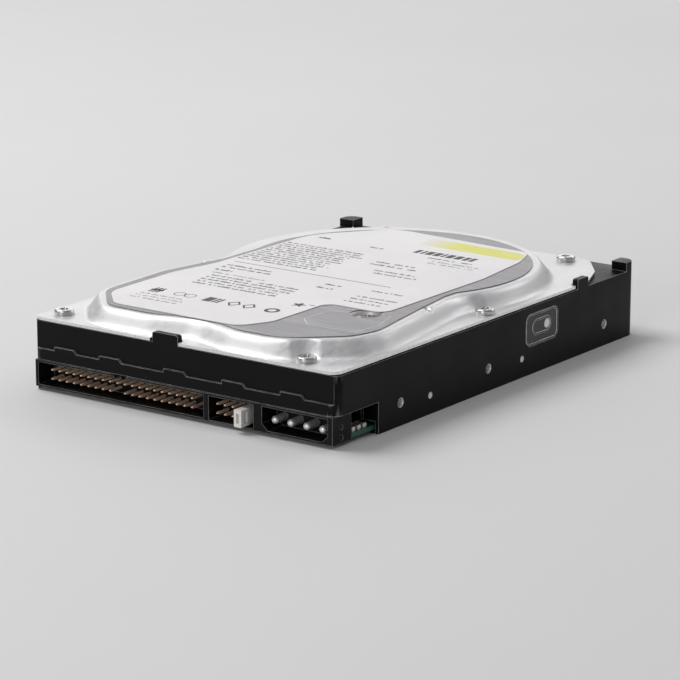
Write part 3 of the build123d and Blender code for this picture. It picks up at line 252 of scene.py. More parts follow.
def board_mask():
    """Dark green solder mask with the faint copper pour and weave below it."""
    green = (0.012, 0.085, 0.042)
    shade = Shade("solder_mask", green, 0.32, Specular_IOR_Level=0.55)
    weave = shade.node("TexWave", {"Vector": shade.coords, "Scale": 420, "Distortion": 0.4},
                       bands_direction="DIAGONAL").outputs["Fac"]
    cloud = shade.noise(140, 4.0)
    tone = shade.mix(shade.spread(cloud, 0, 1), scaled(green, 0.8), scaled(green, 1.5))
    shade.color(shade.mix(shade.spread(weave, 0, 0.35, 0.0, 1.0), tone, scaled(green, 1.9)))
    shade.rough(shade.spread(cloud, 0.27, 0.4))
    shade.bump(weave, 0.05, 0.02)
    return shade.mat


def label_film():
    """Satin white film with a faint fibre and slightly warmer patches."""
    white = (0.83, 0.805, 0.81)
    shade = Shade("label_film", white, 0.48, Specular_IOR_Level=0.4)
    cloud = shade.noise(35, 4.0)
    shade.color(shade.mix(shade.spread(cloud, 0, 1), (0.80, 0.775, 0.785), (0.86, 0.84, 0.84)))
    shade.rough(shade.spread(shade.noise(300), 0.42, 0.55))
    shade.bump(shade.noise(1500, 3.0), 0.04, 0.02)
    shade.bump(shade.noise(45, 2.0), 0.05, 0.25)
    return shade.mat


def highlighter(x_start, x_end):
    """Yellow-green marker stripe that fades in along +X."""
    yellow = (0.77, 0.75, 0.09)
    shade = Shade("marker_yellow", yellow, 0.5)
    along = shade.node("SeparateXYZ", {0: shade.coords}).outputs["X"]
    fade = shade.spread(along, 0, 1, x_start * MM, x_end * MM)
    patchy = shade.spread(shade.noise(160, 3.0), 0.75, 1.0)
    shade.color(shade.mix(shade.math("MULTIPLY", fade, patchy), (0.80, 0.785, 0.72), yellow))
    shade.bump(shade.noise(1500, 3.0), 0.04, 0.02)
    return shade.mat


MAT = {
    "casting": casting_coat("black_casting", (0.0028, 0.0028, 0.003), 0.4),
    # Lighter grey on the rounded edges of the casting: a painted highlight.
    "casting_edge_highlight": plain("casting_edge_highlight", (0.15, 0.15, 0.155), 0.32, 0.3, tone=0.5, scale=420),
    "cover": brushed("cover_steel", (0.78, 0.77, 0.775), 0.5, (1, 0.06, 1), relief=0.03, metal=0.78,
                     tone=0.04),
    "cover_edge": plain("cover_cut_edge", (0.82, 0.81, 0.80), 0.3, 1.0, tone=0.1, scale=900),
    "damper": brushed("damper_grey", (0.275, 0.265, 0.275), 0.42, (0.05, 1, 1), metal=0.75, relief=0.05),
    # Lighter grey on the damper plate's rounded edge and its pressed line: a painted highlight.
    "damper_edge": plain("damper_edge", (0.45, 0.44, 0.45), 0.35, 0.9),
    "label": label_film(),
    "ink": plain("print_black", (0.018, 0.017, 0.019), 0.5, tone=0.3, scale=900),
    "ink_grey": plain("print_grey", (0.13, 0.125, 0.13), 0.5, tone=0.2, scale=900),
    "ink_light": plain("print_light", (0.36, 0.345, 0.35), 0.5, tone=0.15, scale=900),
    "marker": highlighter(x_start=-2, x_end=7),
    "gasket": plain("gasket_rubber", (0.02, 0.02, 0.02), 0.7),
    "screw": plain("zinc_screw", (0.58, 0.57, 0.56), 0.3, 1.0, tone=0.15, scale=700, relief=0.08),
    "steel": plain("bare_steel", (0.56, 0.56, 0.57), 0.28, 1.0, tone=0.1, scale=500),
    "foil": plain("foil_seal", (0.012, 0.012, 0.013), 0.3, tone=0.3, scale=160, relief=0.12),
    # Light grey on the rounded edges of the seal's rim and bead: a painted highlight.
    "foil_edge_highlight": plain("foil_edge_highlight", (0.82, 0.82, 0.82), 0.36, 0.3, tone=0.2, scale=300),
    "bare": plain("bare_aluminium", (0.88, 0.88, 0.89), 0.34, 0.45, tone=0.08, scale=900),
    "filter": plain("filter_felt", (0.74, 0.74, 0.70), 0.95, tone=0.1, grain=2600, relief=0.5),
    "mask": board_mask(),
    "trace": plain("masked_copper", (0.035, 0.23, 0.105), 0.3, tone=0.2),
    "pad": plain("tinned_pad", (0.62, 0.60, 0.55), 0.25, 1.0, tone=0.12, scale=1200),
    "silk": plain("silkscreen", (0.70, 0.70, 0.66), 0.6),
    "foam": plain("black_foam", (0.018, 0.018, 0.02), 0.9, grain=3200, relief=0.6),
    "plastic": connector_plastic(),
    # Lighter grey on the rounded edges of the connector housing: a painted highlight.
    "plastic_edge_highlight": plain("connector_edge_highlight", (0.13, 0.13, 0.135), 0.3, tone=0.35, scale=500),
    "gold": plain("gold_pin", (1.0, 0.66, 0.48), 0.3, 0.2, tone=0.14, scale=1500),
    "tin": plain("tin_pin", (0.90, 0.885, 0.86), 0.3, 0.6, tone=0.1, scale=900),
    "epoxy": plain("chip_epoxy", (0.017, 0.017, 0.018), 0.5, tone=0.25, grain=3000, relief=0.25),
    "ceramic": plain("capacitor_tan", (0.32, 0.22, 0.13), 0.35, tone=0.25, scale=1300),
    "resistor": plain("resistor_glaze", (0.012, 0.012, 0.016), 0.25, tone=0.3, scale=1300),
    "copper": brushed("enamelled_copper", (0.60, 0.25, 0.12), 0.3, (1, 12, 1), grain=1500, relief=0.3),
    "nickel": plain("nickel_plate", (0.62, 0.60, 0.56), 0.22, 1.0, tone=0.08),
    "platter": plain("platter_mirror", (0.74, 0.74, 0.75), 0.05, 1.0, tone=0.02, relief=0.0),
    "machined": brushed("machined_aluminium", (0.66, 0.66, 0.68), 0.32, (1, 1, 12), grain=2800, relief=0.04,
                        tone=0.03),
    "amber": plain("polyimide", (0.42, 0.17, 0.025), 0.3, tone=0.15, Specular_IOR_Level=0.6),
    "nylon": plain("white_nylon", (0.80, 0.79, 0.75), 0.42, tone=0.05, grain=1500,
                   Subsurface_Weight=0.1, Subsurface_Scale=0.001),
    "stop": plain("stop_rubber", (0.03, 0.03, 0.03), 0.75),
    "floor": plain("studio_floor", (0.74, 0.735, 0.73), 0.75, tone=0.015, scale=3, grain=40, relief=0.0),
}

# The moulded body of each chip, without its leads: width and depth.
CHIPS = {"controller_chip": (20.0, 20.0), "motor_driver_chip": (12.0, 12.0), "cache_chip": (18.4, 10.2)}
for chip, size in CHIPS.items():
    MAT[chip] = chip_package(f"{chip}_package", centre(chip), *size)


# -------- outlines and meshes
SNAP = 1e-5         # points of an outline closer than this are one point
CHUNK = 2000        # how many points are measured against a loop at a time
WELD = 0.002        # points closer than this are joined before an edge is rounded


def rounded(corners, step=0.7):
    """A closed loop of points along straight runs joined by tangent arcs; each corner is (x, y, radius)."""
    loop = []
    count = len(corners)
    for index, (x, y, radius) in enumerate(corners):
        here = np.array((x, y))
        before = np.array(corners[index - 1][:2]) - here
        after = np.array(corners[(index + 1) % count][:2]) - here
        before_unit = before / np.linalg.norm(before)
        after_unit = after / np.linalg.norm(after)
        half = math.acos(max(-1.0, min(1.0, float(before_unit @ after_unit)))) / 2
        bisector = (before_unit + after_unit) / np.linalg.norm(before_unit + after_unit)
        middle = here + bisector * radius / math.sin(half)
        start = here + before_unit * radius / math.tan(half) - middle
        end = here + after_unit * radius / math.tan(half) - middle
        turn = math.atan2(start[0] * end[1] - start[1] * end[0], float(start @ end))
        pieces = max(2, round(abs(turn) * radius / step))
        for part in range(pieces + 1):
            angle = turn * part / pieces
            loop.append(middle + np.array((start[0] * math.cos(angle) - start[1] * math.sin(angle),
                                           start[0] * math.sin(angle) + start[1] * math.cos(angle))))
    dense = []
    for first, second in zip(loop, loop[1:] + loop[:1]):
        pieces = max(1, round(float(np.linalg.norm(second - first)) / (step * 1.6)))
        dense += [first + (second - first) * part / pieces for part in range(pieces)]
    return np.array(dense)


def circle(place, radius, count=48):
    angles = np.linspace(0, 2 * math.pi, count, endpoint=False)
    return np.stack((place[0] + radius * np.cos(angles), place[1] + radius * np.sin(angles)), axis=1)


def rounded_box(place, width, depth, radius, step=0.4):
    corners = [(place[0] + side * width / 2, place[1] + end * depth / 2, radius)
               for side, end in ((-1, -1), (1, -1), (1, 1), (-1, 1))]
    return rounded(corners, step)


def signed_distance(points, loop):
    """Distance of each point to a closed loop, negative inside it."""
    points = np.asarray(points, float)
    first = np.asarray(loop)
    second = np.roll(first, -1, axis=0)
    edge = second - first
    length_sq = (edge ** 2).sum(axis=1) + 1e-12
    result = np.empty(len(points))
    for start in range(0, len(points), CHUNK):
        part = points[start:start + CHUNK, None, :]
        along = np.clip(((part - first) * edge).sum(axis=2) / length_sq, 0, 1)
        gap = np.sqrt((((part - first) - along[:, :, None] * edge) ** 2).sum(axis=2)).min(axis=1)
        above = (first[:, 1] > part[:, :, 1]) != (second[:, 1] > part[:, :, 1])
        with np.errstate(divide="ignore", invalid="ignore"):
            cross_x = edge[:, 0] * (part[:, :, 1] - first[:, 1]) / edge[:, 1] + first[:, 0]
        inside = (above & (part[:, :, 0] < cross_x)).sum(axis=1) % 2 == 1
        result[start:start + CHUNK] = np.where(inside, -gap, gap)
    return result


def triangulate(loops, extra=()):
    """Triangles of the area inside the first loop and outside the others, through extra points."""
    points = []
    edges = []
    for loop in loops:
        base = len(points)
        points += [Vector((float(x), float(y))) for x, y in loop]
        edges += [(base + i, base + (i + 1) % len(loop)) for i in range(len(loop))]
    points += [Vector((float(x), float(y))) for x, y in extra]
    verts, _, faces, _, _, _ = delaunay_2d_cdt(points, edges, [], 0, SNAP)
    flat = np.array([tuple(v) for v in verts])
    middles = np.array([flat[list(face)].mean(axis=0) for face in faces])
    keep = signed_distance(middles, loops[0]) < 0
    for hole in loops[1:]:
        keep &= signed_distance(middles, hole) > 0
    return flat, [face for face, kept in zip(faces, keep) if kept]


def on_side(side):
    """Turns (along Y, up Z, out along X) into a point on the left or right wall."""
    return lambda v: (side * v[2], v[0], v[1])


def make(name, verts, faces, material, body="root", smooth=False, slot=None, replaces=(), turn=None):
    """A mesh piece from points in millimetres, riding on a body unless body is None."""
    if turn:
        verts = [turn(v) for v in verts]
    mesh = bpy.data.meshes.new(name)
    mesh.from_pydata([tuple(float(c) * MM for c in v) for v in verts], [], [tuple(f) for f in faces])
    mesh.update()
    work = bmesh.new()
    work.from_mesh(mesh)
    bmesh.ops.recalc_face_normals(work, faces=work.faces)
    work.to_mesh(mesh)
    work.free()
    piece = bpy.data.objects.new(name, mesh)
    bpy.context.scene.collection.objects.link(piece)
    materials = material if isinstance(material, (list, tuple)) else [material]
    for one in materials:
        mesh.materials.append(MAT[one])
    if smooth:
        mesh.shade_smooth()
    if body:
        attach(piece, body)
    if replaces:
        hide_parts(*replaces)
    return piece


def bevel(piece, width_mm, segments=2, angle=40, edge_slot=None):
    """Rounds the sharp edges of a piece; the rounding can take another material slot."""
    weld = piece.modifiers.new("weld", "WELD")
    weld.merge_threshold = WELD * MM
    edge = piece.modifiers.new("rounding", "BEVEL")
    edge.width = width_mm * MM
    edge.segments = segments
    edge.limit_method = "ANGLE"
    edge.angle_limit = math.radians(angle)
    edge.use_clamp_overlap = True
    edge.harden_normals = True
    edge.miter_outer = "MITER_ARC"
    if edge_slot is not None:
        edge.material = edge_slot
    return piece


def prism(name, loops, low_z, high_z, material, **options):
    """A closed plate with holes, from loops at two heights."""
    flat, faces = triangulate(loops)
    count = len(flat)
    verts = [(x, y, high_z) for x, y in flat] + [(x, y, low_z) for x, y in flat]
    walls = {}
    for face in faces:
        for i, first in enumerate(face):
            second = face[(i + 1) % len(face)]
            if walls.pop((second, first), None) is None:
                walls[(first, second)] = True
    all_faces = list(faces) + [tuple(i + count for i in reversed(face)) for face in faces]
    all_faces += [(a, a + count, b + count, b) for a, b in walls]
    return make(name, verts, all_faces, material, **options)


def blocks(name, places, low_z, high_z, material, **options):
    """Many small rectangular blocks in one mesh; each place is (x0, y0, x1, y1)."""
    verts = []
    faces = []
    for x0, y0, x1, y1 in places:
        base = len(verts)
        for z in (low_z, high_z):
            verts += [(x0, y0, z), (x1, y0, z), (x1, y1, z), (x0, y1, z)]
        faces += [tuple(base + i for i in face) for face in
                  ((3, 2, 1, 0), (4, 5, 6, 7), (0, 1, 5, 4), (1, 2, 6, 5), (2, 3, 7, 6), (3, 0, 4, 7))]
    return make(name, verts, faces, material, **options)


def rings(name, places, inner, outer, low_z, high_z, material, sides=20, **options):
    """Flat washers in one mesh, one at each (x, y)."""
    verts = []
    faces = []
    for place in places:
        base = len(verts)
        for radius in (inner, outer):
            for z in (low_z, high_z):
                verts += [(x, y, z) for x, y in circle(place, radius, sides)]
        for i in range(sides):
            j = (i + 1) % sides
            ring = [base + layer * sides for layer in range(4)]
            faces += [(ring[1] + i, ring[1] + j, ring[3] + j, ring[3] + i),
                      (ring[0] + j, ring[0] + i, ring[2] + i, ring[2] + j),
                      (ring[2] + i, ring[3] + i, ring[3] + j, ring[2] + j),
                      (ring[0] + j, ring[1] + j, ring[1] + i, ring[0] + i)]
    return make(name, verts, faces, material, **options)


def lathe(name, places, profile, material, sides=32, axis=(0, 0, 1), capped=True, **options):
    """Turned pieces in one mesh: profile is (radius, height) pairs along the axis from each place.

    A capped piece has a flat end at both ends of its profile. In any other piece the last point of the
    profile joins the first.
    """
    verts = []
    faces = []
    turn = Vector((0, 0, 1)).rotation_difference(Vector(axis))
    for place in places:
        base = len(verts)
        for radius, height in profile:
            for i in range(sides):
                angle = 2 * math.pi * i / sides
                spoke = Vector((radius * math.cos(angle), radius * math.sin(angle), height))
                verts.append(tuple(Vector(place) + turn @ spoke))
        rows = [base + level * sides for level in range(len(profile))]
        pairs = list(zip(rows, rows[1:]))
        if not capped:
            pairs.append((rows[-1], rows[0]))
        for low, high in pairs:
            for i in range(sides):
                j = (i + 1) % sides
                faces.append((low + i, low + j, high + j, high + i))
        if capped:
            faces.append(tuple(rows[0] + i for i in range(sides)))
            faces.append(tuple(rows[-1] + i for i in reversed(range(sides))))
    return make(name, verts, faces, material, **options)


def strip_faces(base, stations):
    """Faces of a closed strip that has four points at each station along it."""
    faces = []
    for a in range(base, base + 4 * (stations - 1), 4):
        b = a + 4
        faces += [(a, a + 1, b + 1, b), (a + 2, b + 2, b + 3, a + 3), (a, b, b + 2, a + 2),
                  (a + 1, a + 3, b + 3, b + 1)]
    end = base + 4 * (stations - 1)
    return faces + [(base, base + 2, base + 3, base + 1), (end, end + 1, end + 3, end + 2)]


def ribbons(name, paths, width, low_z, high_z, material, **options):
    """Flat strips of one width along open lines of (x, y) points, in one mesh."""
    verts = []
    faces = []
    for path in paths:
        line = [Vector(point) for point in path]
        runs = [(after - before).normalized() for before, after in zip(line, line[1:])]
        base = len(verts)
        for i, point in enumerate(line):
            behind = runs[max(i - 1, 0)]
            ahead = runs[min(i, len(runs) - 1)]
            along = (ahead + behind).normalized()
            aside = Vector((-along.y, along.x)) * width / 2 / max(0.5, along.dot(ahead))
            for z in (low_z, high_z):
                verts += [(*(point + aside), z), (*(point - aside), z)]
        faces += strip_faces(base, len(line))
    return make(name, verts, faces, material, **options)


# -------- stamped cover
COVER_SCREWS = [at(-44.8, 6.3), at(37.8, 4.9), at(-47.3, 73.5), at(47.3, 73.5), at(-31.8, 139.6),
                at(31.8, 139.6)]
MIDDLE = at(0, 62)          # a point well inside every outline of the plateau
DOME_R = 44.6               # the plateau's round rear part
BLEND = 5.0                 # how softly the round part meets the front part
SLOPE_RUN = 4.2
SHEET_EDGE_R = 0.13
BEAD_H, BEAD_INSET, BEAD_W = 0.22, 1.05, 0.42
SEAT_R, SEAT_RUN, SEAT_LIFT, SEAT_BLEND = 2.9, 6.0, 0.2, 1.1
SEAT_WALL_H = 7.0           # taller than the plateau, so a seat has no effect beyond its wall
RECESS_R, RECESS_WALL, RECESS_DEPTH = 3.5, 0.9, 1.6
DENT, DENT_R, DENT_WALL, DENT_DEPTH = at(41.0, 54.7), 0.7, 0.9, 0.55

dome_front = rounded([
    (*at(-39.0, 73), 8), (*at(-44.0, 46), 14), (*at(-43.0, 19), 12), (*at(-31.0, 5.4), 10),
    (*at(-14.5, 5.0), 14), (*at(0, 9.3), 14), (*at(14.5, 4.5), 14), (*at(29.5, 4.5), 16),
    (*at(44.0, 17.5), 12), (*at(46.4, 27), 14), (*at(41.5, 55), 12), (*at(39.0, 73), 8)], 0.9)

flange_edge = rounded([
    (*at(-50.5, 0.1), 3.0), (*at(-10.0, 0.1), 0.15), (*at(-10.0, 2.9), 0.7), (*at(-0.4, 2.9), 0.7),
    (*at(-0.4, 0.1), 0.15), (*at(50.5, 0.1), 3.0), (*at(50.5, 115.0), 0.15), (*at(48.5, 115.0), 0.7),
    (*at(48.5, 121.6), 0.7), (*at(50.35, 121.6), 0.15), (*at(45.7, 133), 9), (*at(37.0, 144.3), 7),
    (*at(-37.0, 144.3), 7), (*at(-45.7, 133), 9), (*at(-50.5, 121.5), 6)], 0.5)


def away(points, place):
    """Distance of each point from one place."""
    return np.hypot(points[:, 0] - place[0], points[:, 1] - place[1])


def dome_field(points):
    """Smooth distance outwards from the raised plateau's edge."""
    points = np.asarray(points, float)
    front = signed_distance(points, dome_front)
    back = away(points, SPINDLE) - DOME_R
    overlap = np.maximum(BLEND - np.abs(front - back), 0) / BLEND
    return np.minimum(front, back) - overlap ** 2 * BLEND / 4


def ring_round(is_inside, nearest, count, farthest=90.0, halvings=13):
    """The closed line round MIDDLE where a test on points changes, found by halving along each spoke."""
    angles = np.linspace(0, 2 * math.pi, count, endpoint=False)
    ways = np.stack((np.cos(angles), np.sin(angles)), axis=1)
    low = np.full(count, nearest)
    high = np.full(count, farthest)
    for _ in range(halvings):
        middle = (low + high) / 2
        inside = is_inside(np.array(MIDDLE) + ways * middle[:, None])
        low = np.where(inside, middle, low)
        high = np.where(inside, high, middle)
    return np.array(MIDDLE) + ways * low[:, None]


def smooth_step(value):
    value = np.clip(value, 0, 1)
    return value * value * (3 - 2 * value)


def smooth_min(first, second, reach):
    """The lower of two heights, with the line where they meet rounded over a reach."""
    share = np.clip(0.5 + 0.5 * (second - first) / reach, 0, 1)
    return second * (1 - share) + first * share - reach * share * (1 - share)


def cover_height(points):
    """Height of the cover's upper face: flange, rounded slope, bead, screw seats and recesses."""
    points = np.asarray(points, float)
    field = dome_field(points)
    height = FLANGE_TOP_Z + (PLATEAU_Z - FLANGE_TOP_Z) * (1 - smooth_step((field + 0.5) / (SLOPE_RUN + 0.5)))
    height += BEAD_H * np.exp(-((field + BEAD_INSET) / BEAD_W) ** 2)
    for place in COVER_SCREWS:
        wall = smooth_step((away(points, place) - SEAT_R) / SEAT_RUN)
        seat = FLANGE_TOP_Z + SEAT_LIFT + SEAT_WALL_H * wall
        height = np.maximum(smooth_min(height, seat, SEAT_BLEND), FLANGE_TOP_Z)
    wall = smooth_step((away(points, PIVOT) - RECESS_R) / RECESS_WALL)
    height = np.minimum(height, PLATEAU_Z - RECESS_DEPTH * (1 - wall))
    wall = smooth_step((away(points, DENT) - DENT_R) / DENT_WALL)
    return height - DENT_DEPTH * (1 - wall)


def cover_points():
    """Points of the cover's mesh: rings on the slope and round each seat and recess, a grid elsewhere."""
    levels = [-2.3, -1.9, -1.6, -1.4, -1.2, -1.05, -0.9, -0.7, -0.5, -0.25, 0.1, 0.5, 0.9, 1.3, 1.7, 2.1,
              2.5, 2.9, 3.3, 3.7, 4.1, 4.6, 5.4]
    cloud = [ring_round(lambda points: dome_field(points) < level, 25.0, 640) for level in levels]
    grid = np.array([(x, FRONT_Y + depth + (2 if row % 2 else 0))
                     for row, x in enumerate(np.arange(-50, 51, 4.0)) for depth in np.arange(2, 144, 4.0)])
    field = dome_field(grid)
    cloud.append(grid[(field < -4) | (field > 6.8)])
    cloud = np.concatenate(cloud)
    recesses = [(place, 7.2, 54, np.arange(2.8, 7.1, 0.35)) for place in COVER_SCREWS]
    recesses.append((PIVOT, 5.2, 54, (1.0, 2.4, 3.2, 3.5, 3.65, 3.8, 3.95, 4.1, 4.25, 4.4, 4.8)))
    recesses.append((DENT, 2.2, 20, (0.4, 0.8, 1.0, 1.2, 1.4, 1.6, 1.9)))
    for place, clear, _, _ in recesses:
        cloud = cloud[away(cloud, place) > clear]
    around = [circle(place, radius, sides) for place, _, sides, radii in recesses for radius in radii]
    cloud = np.concatenate([cloud] + around)
    return cloud[signed_distance(cloud, flange_edge) < -0.3]


def top_cover():
    """The stamped sheet, with its cut edge rounded."""
    flat, faces = triangulate([flange_edge], cover_points())
    height = cover_height(flat)
    piece = make("stamped_cover", [(x, y, z) for (x, y), z in zip(flat, height)], faces,
                 ["cover", "cover_edge"], smooth=True, slot="cover_steel", replaces=("top_cover",))
    sheet = piece.modifiers.new("sheet", "SOLIDIFY")
    sheet.thickness = SHEET_T * MM
    sheet.offset = -1
    sheet.material_offset_rim = 1
    bevel(piece, SHEET_EDGE_R, 2, 60, 1)


# -------- damper plate and label
PLATE_MARGIN = 1.7
PLATE_REAR, PLATE_REAR_R = at(2.0, 92.5), 40.8
PLATE_WAIST, WAIST_HALF_W, WAIST_HALF_D = at(0, 78), 38.0, 17.0
PLATE_HOLE_R = 4.5
CREASE_W = 0.3


def on_plate(points):
    """Whether each point is on the damping plate: a front part, a waist or a round rear part."""
    front_part = signed_distance(points, dome_front) + PLATE_MARGIN
    rear_part = away(points, PLATE_REAR) - PLATE_REAR_R
    waist = np.maximum(np.abs(points[:, 0] - PLATE_WAIST[0]) - WAIST_HALF_W,
                       np.abs(points[:, 1] - PLATE_WAIST[1]) - WAIST_HALF_D)
    return np.minimum(np.minimum(front_part, rear_part), waist) < 0


def damper_plate():
    """The plate with its hole over the pivot and the line pressed into it round that hole; the plate's
    rounded edge and the line carry a lighter painted highlight.
    """
    edge = ring_round(on_plate, 20.0, 460)
    piece = prism("damping_plate", [edge, circle(PIVOT, PLATE_HOLE_R)], PLATEAU_Z, DAMPER_TOP_Z,
                  ["damper", "damper_edge"], slot="damper_grey", replaces=("damper_plate",))
    bevel(piece, 0.09, 2, 40, 1)
    crease = rounded([
        (*at(22.0, 25.2), 0.8), (*at(26.2, 21.0), 0.8), (*at(40.7, 21.4), 1.2), (*at(42.1, 30.3), 3),
        (*at(39.0, 41.2), 1.5), (*at(32.1, 40.4), 6), (*at(22.2, 35.7), 1)], 0.5)
    clear = away(crease, PIVOT) > PLATE_HOLE_R + 0.5
    first = int(np.argmax(~clear & np.roll(clear, -1))) + 1
    line = np.roll(crease, -first, axis=0)[np.roll(clear, -first)]
    # The pressed line takes the lighter edge grey: a painted highlight.
    ribbons("plate_crease", [line], CREASE_W, DAMPER_TOP_Z - 0.05, DAMPER_TOP_Z + 0.03, "damper_edge",
            slot="damper_grey")


LABEL_TOP = TOP_Z - 0.03
PRINT_LOW = LABEL_TOP - 0.01
PRINT_TOP = TOP_Z - 0.008
LABEL_EDGE = [
    (*at(-39.0, 46), 18), (*at(-38.5, 18.5), 9), (*at(-29.5, 9.0), 6), (*at(12.5, 9.0), 5),
    (*at(17.2, 18), 5), (*at(17.2, 42.2), 3.5), (*at(35.8, 42.2), 4), (*at(35.8, 90), 30),
    (*at(33.0, 113), 12), (*at(29.0, 124.0), 5), (*at(-20.0, 127.5), 12), (*at(-36.0, 106), 22),
    (*at(-36.0, 62), 14)]
# Blocks of print: ink, where its lines start and end, how far back each line is, its height, how ragged
# its right-hand side is.
LABEL_ROWS = [
    ("ink_light", -31.0, -13.0, (17.4, 19.7, 22.0), 1.0, 6.0),
    ("ink_grey", -28.0, 4.0, (39.6, 42.0, 44.4, 46.8, 49.2), 1.15, 4.0),
    ("ink_light", -30.0, -8.0, (52.2,), 1.0, 4.0),
    ("ink", -31.5, -22.5, (55.4,), 1.3, 4.0),
    ("ink_grey", -32.0, -14.0, (59.0, 61.6), 1.1, 4.0),
    ("ink", 4.0, 12.0, (55.0, 59.0), 1.1, 4.0),
    ("ink_grey", 19.0, 33.0, (47.0, 50.0, 53.0, 60.0), 1.0, 4.0),
    ("ink_grey", -35.0, -5.0, [70.4 + 2.15 * row for row in range(12)], 1.05, 4.0),
    ("ink_grey", 5.5, 23.0, (77.5, 80.3), 1.2, 4.0),
    ("ink_grey", 0.0, 16.5, (86.0, 89.0), 1.25, 4.0),
    ("ink_light", 12.5, 30.0, (96.2, 98.6), 1.0, 4.0),
    ("ink_grey", 9.0, 25.0, (101.6,), 1.0, 4.0),
    ("ink", -31.5, -24.0, (104.6,), 1.4, 4.0),
    ("ink_grey", -12.0, -4.0, (103.0,), 1.2, 4.0)]
ICONS = 27.0                # how far back the row of plain shapes is


def words(rng, x0, x1, y, size, fill=0.9):
    """A line of print as solid bars of mixed widths, in word-like groups: no letters."""
    bars = []
    x = x0
    while x < x1:
        for _ in range(rng.randint(2, 8)):
            width = size * rng.uniform(0.34, 0.66)
            if x + width > x1:
                return bars
            tall = size * rng.choice((0.62, 0.62, 0.62, 0.95, 0.95))
            if rng.random() < fill:
                bars.append((x, y, x + width, y + tall))
            x += width + size * 0.11
        x += size * rng.uniform(0.45, 0.7)
    return bars


def label_print(rng):
    """Rows of plain bars in three inks, a rule, and a bold line of bars in front of the marker stripe."""
    marks = {"ink": [], "ink_grey": [], "ink_light": []}
    for ink, x0, x1, depths, size, ragged in LABEL_ROWS:
        for depth in depths:
            marks[ink] += words(rng, x0, x1 - rng.uniform(0, ragged), at(0, depth)[1], size)
    marks["ink"].append(at_box(-33.0, 66.3, 21.0, 66.6))
    x = 1.6
    while x < 21.0:
        width = rng.choice((0.9, 1.5, 2.1))
        marks["ink"].append(at_box(x, 105.0, x + width, 108.8 - rng.choice((0, 0, 0.9))))
        x += width + rng.uniform(0.5, 0.9)
    return marks


def label_icons():
    """The upright and level bars among the row of plain shapes."""
    bars = [(x, 2.4, x + 0.75) for x in (-30.6, -29.4, -28.2)]
    squares = [(-12.3, 2.2, -9.6), (-9.0, 2.2, -8.2), (-7.7, 2.2, -6.9)]
    icons = [at_box(x0, ICONS - half, x1, ICONS + half) for x0, half, x1 in bars]
    icons.append(at_box(-31.0, ICONS - 0.5, -27.0, ICONS + 0.6))
    icons += [at_box(x0, ICONS - half, x1, ICONS + half) for x0, half, x1 in squares]
    return icons + [at_box(14.6, 37.4, 16.4, 37.8)]


def label():
    """White film with generic print: bars, ovals, diamonds, a ring, a star and a marker stripe."""
    film = {"slot": "label_film"}
    prism("label_film", [rounded(LABEL_EDGE, 0.9)], DAMPER_TOP_Z, LABEL_TOP, "label",
          replaces=("product_label",), **film)
    marks = label_print(random.Random(7))
    marks["ink"] += label_icons()
    for name, ink in (("print_black", "ink"), ("print_grey", "ink_grey"), ("print_light", "ink_light")):
        blocks(name, marks[ink], PRINT_LOW, PRINT_TOP, ink, **film)
    rings("print_ring", [at(10.1, ICONS)], 1.2, 2.2, PRINT_LOW, PRINT_TOP, "ink", sides=40, **film)
    rings("print_ovals", [at(-21.2, ICONS), at(-17.6, ICONS)], 1.45, 1.8, PRINT_LOW, PRINT_TOP,
          "ink_grey", sides=32, **film)
    diamonds = [[at(x - 0.9, ICONS - 1.1), at(x, ICONS - 2.2), at(x + 1.8, ICONS), at(x, ICONS + 2.2),
                 at(x - 1.8, ICONS), at(x - 0.9, ICONS - 1.1)] for x in (-2.6, 2.4)]
    ribbons("print_diamonds", diamonds, 0.55, PRINT_LOW, PRINT_TOP, "ink", **film)
    star_x, star_y = at(12.2, 36.2)
    star = []
    for spoke in range(5):
        angle = math.pi * (0.5 + 0.4 * spoke)
        for reach, way in ((2.3, angle), (1.0, angle + 0.2 * math.pi)):
            star.append((star_x + reach * math.cos(way), star_y + reach * math.sin(way)))
    prism("print_star", [np.array(star)], PRINT_LOW, PRINT_TOP, "ink", **film)
    stripe = rounded([(*at(-3, 114.8), 1), (*at(32.2, 113.6), 1.5), (*at(29.5, 121.6), 4),
                      (*at(-3, 122.8), 1)], 0.8)
    prism("marker_stripe", [stripe], PRINT_LOW, LABEL_TOP + 0.01, "marker", **film)


# -------- port seal, threads, dimples
SEAL_R, SEAL_RIM = 2.2, 0.55
BEAD_SIZE, SEAL_BEAD_R, SEAL_BEAD_W = (9.8, 4.6), 2.29, 0.6
BEAD_RISE = 0.3             # the bead and the bright dome that stands in for a glint on it are this much above the seal's middle
GLINT_SHIFT = 2.7


